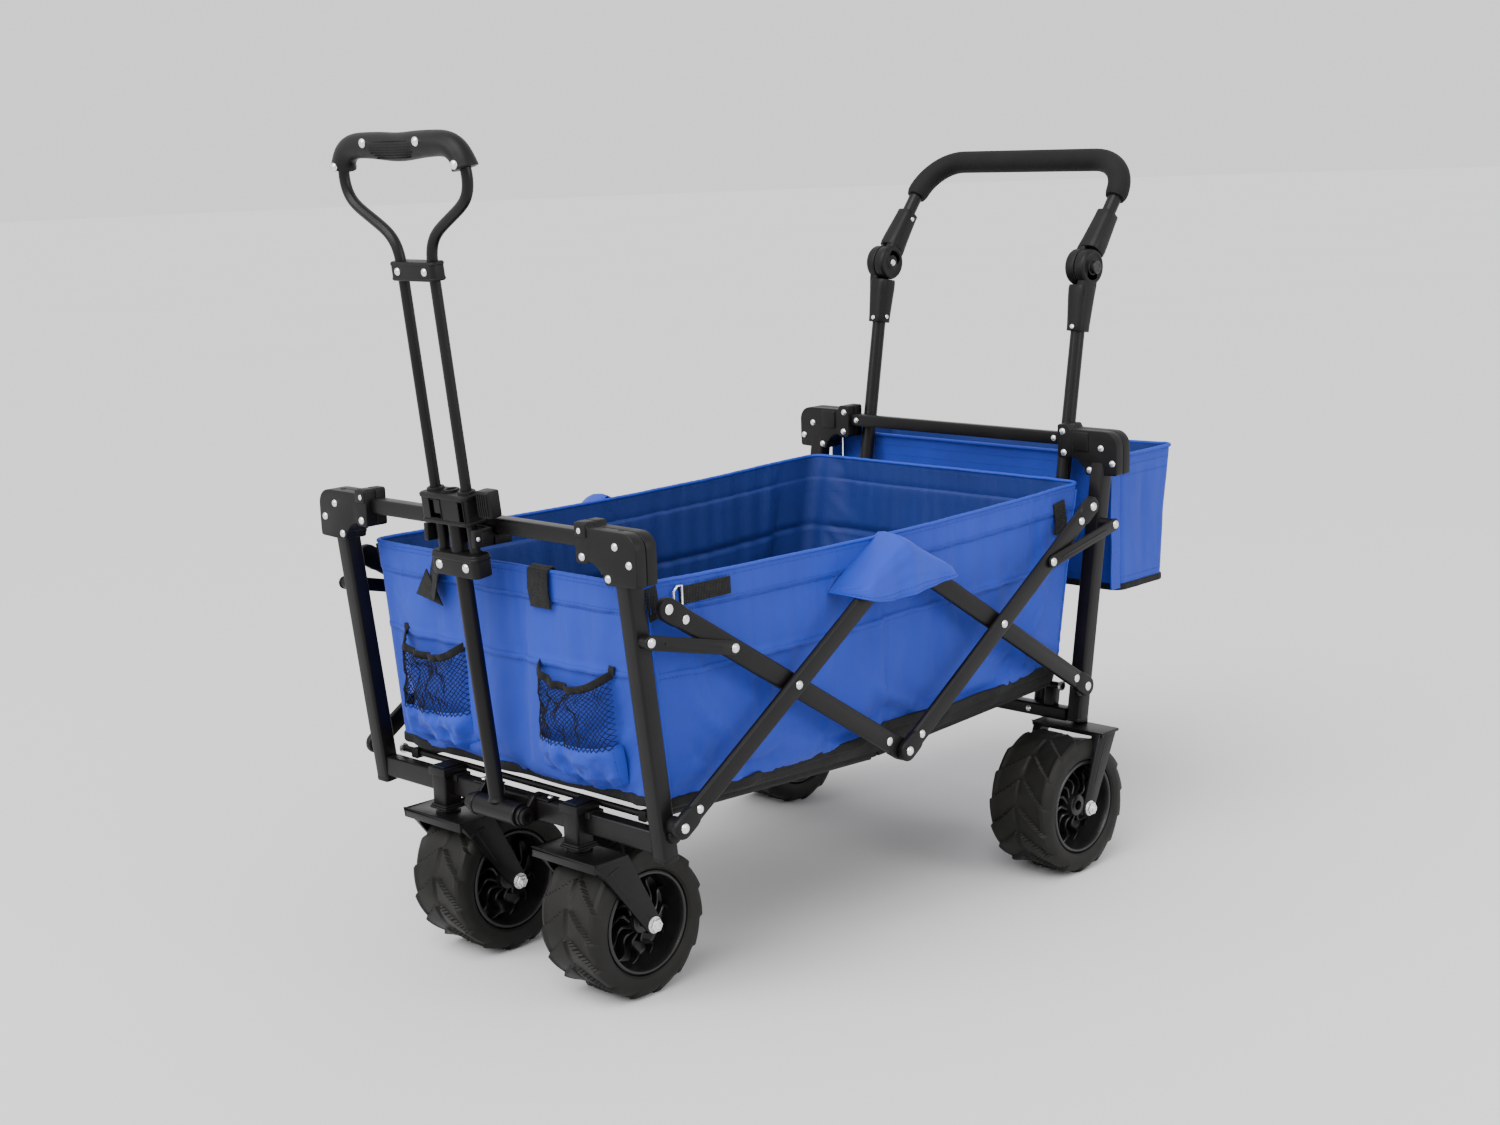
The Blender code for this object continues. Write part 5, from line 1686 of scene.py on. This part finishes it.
def flap_place(sign, u, v):
    for (a, y0, z0), (b, y1, z1) in zip(FLAP_PROFILE, FLAP_PROFILE[1:]):
        if v <= b:
            share = (v - a) / (b - a)
            y, z = y0 + (y1 - y0) * share, z0 + (z1 - z0) * share
            break
    spread = 1 - abs(u) ** 18
    fall = (z - 0.4300) / 0.0675
    sew_up = 0.4990 - 0.0540 * abs(u) ** 1.08
    hem_up = 0.4290 + 0.0135 * u * u + 0.0030 * math.sin(3.3 * u + 0.6)
    z = hem_up + (sew_up - hem_up) * fall
    y = 0.2390 + (y - 0.2390) * spread
    y += spread * v * (0.0022 * math.sin(7.5 * u + 1.0) + 0.0012 * math.sin(15 * u + 2 * v) + 0.001)
    z += 0.0012 * noise.noise(Vector((u * 3, v * 3, 4))) * spread
    x = 0.3725 + u * (0.0860 + 0.006 * v) + 0.003 * v
    return at(x, sign * y, z)


def flaps():
    for side, sign in SIDES:
        columns, rows = 56, 26
        grid = [[flap_place(sign, 2 * c / columns - 1, r / rows) for c in range(columns + 1)]
                for r in range(rows + 1)]
        normals = grid_normals(grid, False)
        flip = 1 if normals[rows // 2][columns // 2].y * sign > 0 else -1
        ways = [[way * flip for way in line] for line in normals]
        shape = sheet_shape(grid, 0.0013, False, flip)
        cover = finish_piece("joint_cover_" + side, shape, (CLOTH, LINING_WITH_SHADE), "bars_b", smooth=80)
        threads = bmesh.new()
        dashes(threads, grid[-3], ways[-3])
        dashes(threads, grid[1], ways[1])
        stitches = finish_piece("joint_cover_stitches_" + side, threads, STITCH, "bars_b", smooth=20)
        rolled = bmesh.new()
        sweep(rolled, grid[-1], round_outline(0.0013, 8), Vector((0, 0, 1)))
        edge = finish_piece("joint_cover_hem_" + side, rolled, CLOTH_PLAIN, "bars_b", smooth=60)
        for piece in (cover, stitches, edge):
            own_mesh(piece)


# Pockets


POCKET_DEPTH = ((0.0, 0.0060), (0.10, 0.0210), (0.28, 0.0290), (0.45, 0.0275), (0.75, 0.0215), (1.0, 0.0185))


def pocket_place(sign, u, v):
    wide = 0.0660 - 0.0085 * v ** 1.5 + 0.0015 * math.sin(v * 9)
    depth = table_at(POCKET_DEPTH, v)
    side_fall = max(0.0, 1 - abs(u) ** 4.5) ** 0.6
    low = max(0.0, 1 - v / 0.42)
    fold = 0.0072 * math.sin(u * 9.5 + sign * 1.3 + 2.6 * noise.noise(Vector((u * 2, v * 3, sign * 3)))) * low
    coarse = noise.noise(Vector((u * 3.6, v * 6, 9 + sign)))
    fold += 0.0080 * coarse + 0.0032 * noise.noise(Vector((u * 9, v * 14, 19)))
    net_fold = 0.0030 * math.sin(u * 5 + v * 4 + sign) * min(1.0, max(0.0, (v - 0.4) * 3))
    depth = max(0.0, depth + (fold + net_fold) * side_fall) * side_fall
    up = 0.2635 + 0.1315 * v + 0.0060 * abs(u) ** 4 * (1 - v) - 0.0030 * (1 - u * u) * (1 - v)
    up -= 0.0220 * (1 - abs(u) ** 2.4) * v ** 4
    y = sign * 0.1240 + u * wide
    return at(wall_at(FRONT_WALL, up) - 0.0052 - depth, y, up)


def pockets():
    for side, sign in SIDES:
        columns = 60
        grid = [[pocket_place(sign, 2 * c / columns - 1, 0.37 * r / 22) for c in range(columns + 1)]
                for r in range(23)]
        for c, place in enumerate(grid[0]):
            place.x += 0.002
        normals = grid_normals(grid, False)
        flip = 1 if normals[10][columns // 2].x < 0 else -1
        ways = [[way * flip for way in line] for line in normals]
        shape = sheet_shape(grid, 0.0012, False, flip)
        pouch = finish_piece("pocket_pouch_" + side, shape, (CLOTH, LINING_WITH_SHADE), "front_frame", smooth=80)
        threads = bmesh.new()
        dashes(threads, grid[-2], ways[-2])
        dashes(threads, [line[2] for line in grid], [line[2] for line in ways])
        dashes(threads, [line[-3] for line in grid], [line[-3] for line in ways])
        stitches = finish_piece("pocket_stitches_" + side, threads, STITCH, "front_frame", smooth=20)
        mesh_net = net(side, sign)
        mouth = mouth_binding(side, sign)
        for piece in (pouch, stitches, mesh_net, mouth):
            fold_away(piece)


def net(side, sign):
    """The black net that closes the upper part of a pocket, as real threads."""
    wide, tall = 44, 24
    shape = bmesh.new()
    knots = {}
    for i in range(wide + 1):
        for j in range(tall + 1):
            if (i + j) % 2 == 0:
                place = pocket_place(sign, 1.98 * i / wide - 0.99, 0.34 + 0.64 * j / tall)
                knots[i, j] = shape.verts.new(place + Vector((-0.0003, 0, 0)))
    for i, j in sorted(knots):
        ring = [(i, j), (i + 1, j + 1), (i, j + 2), (i - 1, j + 1)]
        if all(key in knots for key in ring):
            shape.faces.new([knots[key] for key in ring])
    mesh = bpy.data.meshes.new("pocket_net")
    shape.to_mesh(mesh)
    shape.free()
    made = bpy.data.objects.new("pocket_net_" + side, mesh)
    bpy.context.scene.collection.objects.link(made)
    mesh.materials.append(DARK_THREAD)
    wires = made.modifiers.new("threads", "WIREFRAME")
    wires.thickness, wires.use_even_offset, wires.use_boundary = 0.0013, False, True
    apply_modifiers(made)
    made.data.shade_smooth()
    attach(made, "front_frame")
    return made


def mouth_binding(side, sign):
    line = [pocket_place(sign, u / 20, 0.985) for u in range(-20, 21)]
    line = [place + Vector((-0.0002, 0, 0.001)) for place in line]
    first, last = line[0], line[-1]
    tips = [first + Vector((0.0006, -0.001, 0.0100)), first + Vector((0, 0, 0.004))]
    ends = [last + Vector((0, 0, 0.004)), last + Vector((0.0006, 0.001, 0.0100))]
    shape = bmesh.new()
    sweep(shape, line, soft_box(0.0098, 0.0026, 0.001, 2), Vector((0, 0, 1)))
    for a, b in ((tips[0], first), (last, ends[1])):
        sweep(shape, [a, a.lerp(b, 0.5) + Vector((-0.0008, 0, 0)), b], soft_box(0.0095, 0.0024, 0.001, 2),
              Vector((0, 1, 0)))
    return finish_piece("pocket_binding_" + side, shape, TAPE, "front_frame", smooth=60)


# Straps


def strap(name, points, width, across, body="front_frame", thick=0.0018, material=None):
    shape = bmesh.new()
    radii = [min(0.004, (b - a).length * 0.4, (c - b).length * 0.4)
             for a, b, c in zip(points, points[1:], points[2:])]
    path = rounded(points, radii, 5) if len(points) > 2 else points
    sweep(shape, path, soft_box(width, thick, min(0.0008, thick * 0.4), 2), across)
    return finish_piece(name, shape, material or WEBBING, body, smooth=50)


def straps():
    y_way = Vector((0, 1, 0))
    pieces = []
    y = -0.080
    front = lambda up: wall_at(FRONT_WALL, up)
    points = [at(front(0.458) - 0.0085, y, 0.4580), at(front(0.480) - 0.0100, y, 0.4800),
              at(front(0.500) - 0.0075, y, 0.5010), at(front(0.500) + 0.0010, y, 0.5052),
              at(front(0.500) + 0.0075, y, 0.5000), at(front(0.470) + 0.0060, y, 0.4700)]
    pieces.append(strap("rim_loop_near", points, 0.035, y_way, thick=0.0020))
    y = 0.098
    points = [at(front(0.470) + 0.0060, y - 0.004, 0.4700), at(front(0.500) + 0.0075, y - 0.003, 0.5000),
              at(front(0.500) + 0.0010, y - 0.002, 0.5052), at(front(0.500) - 0.0075, y, 0.5010),
              at(front(0.480) - 0.0130, y + 0.004, 0.4780), at(front(0.452) - 0.0155, y + 0.012, 0.4500)]
    pieces.append(strap("rim_loop_far", points, 0.036, y_way, thick=0.0020))
    twist = bmesh.new()
    top, base = at(front(0.48) - 0.0145, y + 0.008, 0.4850), at(front(0.45) - 0.0150, y + 0.018, 0.4420)
    corners_of_fold = [top + Vector((-0.0006, 0.010, -0.004)), base + Vector((-0.0012, 0.024, 0.006)),
                       base + Vector((0.0, -0.024, -0.003))]
    low = [corner + Vector((0.0022, 0, 0)) for corner in corners_of_fold]
    ring, other = [twist.verts.new(p) for p in corners_of_fold], [twist.verts.new(p) for p in low]
    twist.faces.new(ring)
    twist.faces.new(list(reversed(other)))
    bridge(twist, ring, other)
    pieces.append(finish_piece("rim_loop_fold", twist, WEBBING, "front_frame", bevel=0.0006, segments=2))
    for side, sign in SIDES:
        z = 0.4800
        wall = sign * 0.2400
        points = [at(0.0440, wall, z), at(0.0700, sign * 0.2412, z), at(0.1180, sign * 0.2442, z + 0.0005)]
        pieces.append(strap("side_strap_" + side, points, 0.020, Vector((0, 0, 1)), thick=0.0022))
        ring_shape = bmesh.new()
        outline = [Vector((0, 0, -0.0120)), Vector((-0.0070, 0, -0.0120)), Vector((-0.0125, 0, -0.0070)),
                   Vector((-0.0125, 0, 0.0070)), Vector((-0.0070, 0, 0.0120)), Vector((0, 0, 0.0120))]
        sweep(ring_shape, [at(0.0460, sign * 0.2425, z) + p for p in outline], round_outline(0.0014, 10),
              y_way, closed=True)
        pieces.append(finish_piece("strap_ring_" + side, ring_shape, ZINC, "front_frame", smooth=60))
        points = [at(0.0100, sign * 0.2380, 0.4600), at(0.0060, sign * 0.2384, 0.4780),
                  at(0.0030, sign * 0.2384, 0.4960)]
        pieces.append(strap("corner_velcro_" + side, points, 0.018, Vector((1, 0, 0)), thick=0.0012))
        points = [at(0.7260, sign * 0.2396, 0.4820), at(0.7300, sign * 0.2402, 0.4560),
                  at(0.7260, sign * 0.2412, 0.4380)]
        pieces.append(strap("rear_strap_" + side, points, 0.024, Vector((1, 0, 0)), thick=0.0024))
    for piece in pieces:
        fold_away(piece)


# Floor boards and basket


def quilted_board(end, near, far):
    """A stiff board in a padded cover, sewn in squares, with piping round its edge."""
    body, side_reach = "floor_" + end, 0.226
    lift = Vector((0, 0, 0.0064))
    along_count, across_count = 60, 76
    top, low = [], []
    for r in range(along_count + 1):
        share = r / along_count
        top_line, low_line = [], []
        for c in range(across_count + 1):
            u = c / across_count
            place = near.lerp(far, share) + Vector((0, (2 * u - 1) * side_reach, 0)) + lift
            edge = min(1.0, min(share, 1 - share) * 26, min(u, 1 - u) * 34)
            quilt = abs(math.sin(share * math.pi * 3)) ** 0.45 * abs(math.sin(u * math.pi * 4)) ** 0.45
            small = 0.0004 * noise.noise(place * 30)
            top_line.append(place + Vector((0, 0, 0.0035 + 0.0034 * quilt * edge + small)))
            low_line.append(place)
        top.append(top_line)
        low.append(low_line)
    shape = bmesh.new()
    layer = shape.loops.layers.uv.new("metres")
    skins = [[[shape.verts.new(p) for p in line] for line in skin] for skin in (top, low)]
    for slot, skin in enumerate(skins):
        for r in range(along_count):
            for c in range(across_count):
                made = shape.faces.new((skin[r][c], skin[r][c + 1], skin[r + 1][c + 1], skin[r + 1][c]))
                made.material_index = slot
                for loop in made.loops:
                    loop[layer].uv = (loop.vert.co.x, loop.vert.co.y)
    border = grid_border(along_count, across_count)
    bridge(shape, [skins[0][r][c] for r, c in border], [skins[1][r][c] for r, c in border])
    board = finish_piece(f"quilted_board_{end}", shape, (TAPE, TAPE), body, (f"floor_board_{end}",),
                         smooth=70)
    piping = bmesh.new()
    ring = [(top[r][c] + low[r][c]) / 2 for r, c in border]
    sweep(piping, ring, soft_box(0.0105, 0.0040, 0.0015, 3), Vector((0, 0, 1)), closed=True)
    finish_piece(f"board_piping_{end}", piping, TAPE, body, smooth=60)
    threads = bmesh.new()
    up = Vector((0, 0, 1))
    for share in (1 / 3, 2 / 3):
        line = top[round(along_count * share)]
        dashes(threads, line, [up] * len(line))
    for share in (0.25, 0.5, 0.75):
        line = [row[round(across_count * share)] for row in top]
        dashes(threads, line, [up] * len(line))
    finish_piece(f"board_stitches_{end}", threads, DARK_THREAD, body, smooth=20)


BASKET_ROWS = 26
BASKET_UP = (0.3475, 0.5265)
BASKET_Y, BASKET_CORNER = 0.2490, 0.014


def basket_columns():
    """Stations round the basket as (kind, sign, value), starting at one end of the front."""
    inner = BASKET_Y - BASKET_CORNER
    columns = []
    flat, deep = 70, 18
    columns += [("front", 0, inner * (1 - 2 * n / flat)) for n in range(flat)]
    columns += [("turn_a", -1, n / 4) for n in range(5)]
    columns += [("side", -1, n / deep) for n in range(1, deep)]
    columns += [("turn_b", -1, n / 4) for n in range(5)]
    columns += [("rear", 0, inner * (2 * n / flat - 1)) for n in range(1, flat)]
    columns += [("turn_b", 1, 1 - n / 4) for n in range(5)]
    columns += [("side", 1, 1 - n / deep) for n in range(1, deep)]
    columns += [("turn_a", 1, 1 - n / 4) for n in range(4)]
    return columns


def basket_place(column, share):
    """Where a flat basket wall would be, and the way it faces, both seen from above."""
    kind, sign, value = column
    corner, inner = BASKET_CORNER, BASKET_Y - BASKET_CORNER
    front, rear = 0.8440, 0.9515 + 0.0240 * share
    turn = value * math.pi / 2
    if kind == "front":
        return (front, value), (-1, 0)
    if kind == "rear":
        return (rear, value), (1, 0)
    if kind == "side":
        return (front + corner + (rear - front - 2 * corner) * value, sign * BASKET_Y), (0, sign)
    if kind == "turn_a":
        place = (front + corner * (1 - math.cos(turn)), sign * (inner + corner * math.sin(turn)))
        return place, (-math.cos(turn), sign * math.sin(turn))
    place = (rear - corner * (1 - math.sin(turn)), sign * (inner + corner * math.cos(turn)))
    return place, (math.sin(turn), sign * math.cos(turn))


def basket_slack(kind, place, up, share):
    """How far the basket's cloth stands out from its flat wall, and how far it sags."""
    run = place[0] * 3 + place[1]
    tall = math.sin(math.pi * share)
    out = 0.0028 * noise.noise(Vector((run * 9, up * 6, 21))) * (0.3 + 0.7 * tall)
    out += 0.0010 * noise.noise(Vector((run * 28, up * 18, 25)))
    out -= 0.0016 * tall if kind in ("rear", "side") else 0.0008 * tall
    if kind == "side":
        out = min(out, 0.0012)
        out -= 0.0022 * math.exp(-((place[0] - 0.905) / 0.005) ** 2) * tall
    if kind == "front":
        out = max(-0.002, min(0.0006, out))
    sag = 0.0035 * (1 - (place[1] / 0.25) ** 2) * share ** 3 if kind == "rear" else 0.0
    return out, sag


def basket_grid():
    """The basket's walls as rows from the foot to the rim."""
    grid = []
    for r in range(BASKET_ROWS + 1):
        share = r / BASKET_ROWS
        up = BASKET_UP[0] + (BASKET_UP[1] - BASKET_UP[0]) * share
        line = []
        for column in basket_columns():
            place, way = basket_place(column, share)
            out, sag = basket_slack(column[0], place, up, share)
            line.append(at(place[0] + way[0] * out, place[1] + way[1] * out, up - sag))
        grid.append(line)
    return grid


def basket_base(outline):
    """The basket's cloth floor, sagging a little towards its middle."""
    base = bmesh.new()
    layer = base.loops.layers.uv.new("metres")
    rings = []
    middle = sum(outline, Vector()) / len(outline)
    for share in (1.0, 0.9, 0.75, 0.55, 0.3):
        rings.append([base.verts.new(middle.lerp(place, share) - Vector((0, 0, 0.0008 * (1 - share))))
                      for place in outline])
    for ring, other in zip(rings, rings[1:]):
        bridge(base, ring, other)
    base.faces.new(rings[-1])
    extruded = bmesh.ops.extrude_face_region(base, geom=base.faces[:])
    raised = [item for item in extruded["geom"] if isinstance(item, bmesh.types.BMVert)]
    bmesh.ops.translate(base, vec=(0, 0, 0.0018), verts=raised)
    for face in base.faces:
        for loop in face.loops:
            loop[layer].uv = loop.vert.co.xy
    return finish_piece("basket_base", base, (CLOTH, LINING_WITH_SHADE), "rear_frame", smooth=60)


def basket_edges(grid):
    """Black tape round the foot and a rolled edge round the rim."""
    up = Vector((0, 0, 1))
    tape = bmesh.new()
    low = [place + Vector((0, 0, 0.001)) for place in grid[0]]
    sweep(tape, low, soft_box(0.0090, 0.0050, 0.0020, 3), up, closed=True)
    bound = finish_piece("basket_binding", tape, TAPE, "rear_frame", smooth=60)
    rim = bmesh.new()
    sweep(rim, grid[-1], round_outline(0.0026, 10), up, closed=True)
    return bound, finish_piece("basket_rim", rim, CLOTH_PLAIN, "rear_frame", smooth=60)


def basket_stitches(grid, ways):
    threads = bmesh.new()
    for r in (BASKET_ROWS - 2, BASKET_ROWS - 4, 2):
        dashes(threads, grid[r] + [grid[r][0]], ways[r] + [ways[r][0]])
    return finish_piece("basket_stitches", threads, STITCH, "rear_frame", smooth=20)


def grid_border(rows, columns):
    """The cells' corners round the edge of a grid, as (row, column), once round."""
    border = [(0, c) for c in range(columns)] + [(r, columns) for r in range(rows)]
    return border + [(rows, c) for c in range(columns, 0, -1)] + [(r, 0) for r in range(rows, 0, -1)]


def basket_tabs():
    """Flat tabs of cloth that run from the basket's front corners to the posts."""
    rows, columns = 20, 6
    border = grid_border(rows, columns)
    tabs = bmesh.new()
    for sign in (-1, 1):
        panel = []
        for r in range(rows + 1):
            across, up = sign * (0.2490 - 0.0006 * math.sin(r * 0.7)), 0.3480 + 0.178 * r / rows
            panel.append([at(0.8290 + 0.020 * c / columns, across, up) for c in range(columns + 1)])
        verts = [[tabs.verts.new(p) for p in line] for line in panel]
        backs = [[tabs.verts.new(p - Vector((0, sign * 0.0022, 0))) for p in line] for line in panel]
        for skin in (verts, backs):
            for line, other in zip(skin, skin[1:]):
                bridge(tabs, line, other, False)
        bridge(tabs, [verts[r][c] for r, c in border], [backs[r][c] for r, c in border])
    return finish_piece("basket_side_tabs", tabs, CLOTH_PLAIN, "rear_frame", smooth=60)


def basket():
    grid = basket_grid()
    normals = grid_normals(grid, True)
    flip = 1 if normals[5][10].x < 0 else -1
    ways = [[way * flip for way in line] for line in normals]
    shape = sheet_shape(grid, 0.0020, True, flip)
    bag = finish_piece("basket_cloth", shape, (CLOTH, LINING_WITH_SHADE), "rear_frame", ("basket",), smooth=80)
    trims = [basket_base(grid[0]), *basket_edges(grid), basket_stitches(grid, ways), basket_tabs()]


def soft_goods():
    tub()
    flaps()
    pockets()
    straps()
    quilted_board("front", at(0.0290, 0, 0.2333), at(0.3710, 0, 0.2181))
    quilted_board("rear", at(0.7190, 0, 0.2333), at(0.3770, 0, 0.2181))
    basket()


# Stage

CAMERA = (-1.9978, -1.9416, 0.979)
YAW, PITCH_DOWN, ROLL = math.radians(45.217), math.radians(-11.253), math.radians(-2.149)
LENS = 53.09
FLOOR_R = 30


def camera():
    ahead = Vector((math.sin(YAW) * math.cos(PITCH_DOWN), math.cos(YAW) * math.cos(PITCH_DOWN),
                    math.sin(PITCH_DOWN)))
    right = ahead.cross(Vector((0, 0, 1))).normalized()
    up = right.cross(ahead)
    tilted = right * math.cos(ROLL) + up * math.sin(ROLL)
    upright = up * math.cos(ROLL) - right * math.sin(ROLL)
    data = bpy.data.cameras.new("view")
    data.lens, data.sensor_width, data.clip_start = LENS, 36.0, 0.05
    made = bpy.data.objects.new("view", data)
    rows = Matrix((tilted, upright, -ahead)).transposed().to_4x4()
    made.matrix_world = Matrix.Translation(Vector(CAMERA)) @ rows
    bpy.context.scene.collection.objects.link(made)
    bpy.context.scene.camera = made


def area_light(name, place, target, size, power):
    data = bpy.data.lights.new(name, "AREA")
    data.shape, data.size, data.energy = "DISK", size, power
    made = bpy.data.objects.new(name, data)
    made.location = place
    made.rotation_euler = (Vector(target) - Vector(place)).to_track_quat("-Z", "Y").to_euler()
    bpy.context.scene.collection.objects.link(made)


def sun(name, way, strength, spread):
    data = bpy.data.lights.new(name, "SUN")
    data.energy, data.angle = strength, math.radians(spread)
    made = bpy.data.objects.new(name, data)
    made.rotation_euler = Vector(way).to_track_quat("-Z", "Y").to_euler()
    bpy.context.scene.collection.objects.link(made)


def lights():
    sun("soft_sun", (0.80, 0.18, -1.0), 3.7, 50)
    area_light("left_box", (-2.6, 0.9, 1.7), (-0.2, 0, 0.4), 1.2, 26)
    area_light("right_box", (0.4, -3.0, 1.5), (0, 0, 0.4), 1.4, 34)
    world = bpy.data.worlds.new("studio")
    world.use_nodes = True
    back = world.node_tree.nodes["Background"]
    back.inputs["Color"].default_value = (1.0, 1.0, 1.0, 1.0)
    back.inputs["Strength"].default_value = 1.2
    bpy.context.scene.world = world


def studio_floor():
    made = Paint("studio_white", (0.62, 0.62, 0.62), 1.0, Specular_IOR_Level=0.0)
    made.mottle(0.8, (0.616, 0.616, 0.616), (0.626, 0.626, 0.626))
    made.bump(made.noise(4, 2), 0.0004, 0.2)
    shape = bmesh.new()
    shape.faces.new([shape.verts.new((x, y, 0)) for x, y in round_outline(FLOOR_R, 48)])
    mesh = bpy.data.meshes.new("studio_floor")
    shape.to_mesh(mesh)
    shape.free()
    mesh.materials.append(made.material)
    mesh.shade_smooth()
    floor = bpy.data.objects.new("studio_floor", mesh)
    floor.location.z = -0.0004
    bpy.context.scene.collection.objects.link(floor)


def build():
    camera()
    lights()
    studio_floor()
    posts()
    corners()
    cross_bars()
    front_bar()
    dock()
    frame_ends()
    casters()
    rear_forks()
    wheels()
    scissor_bars()
    links()
    floor_rails()
    pull_tube()
    collar()
    clamps()
    hoop()
    push_uprights()
    push_bow()
    soft_goods()
    place_hardware()


build()
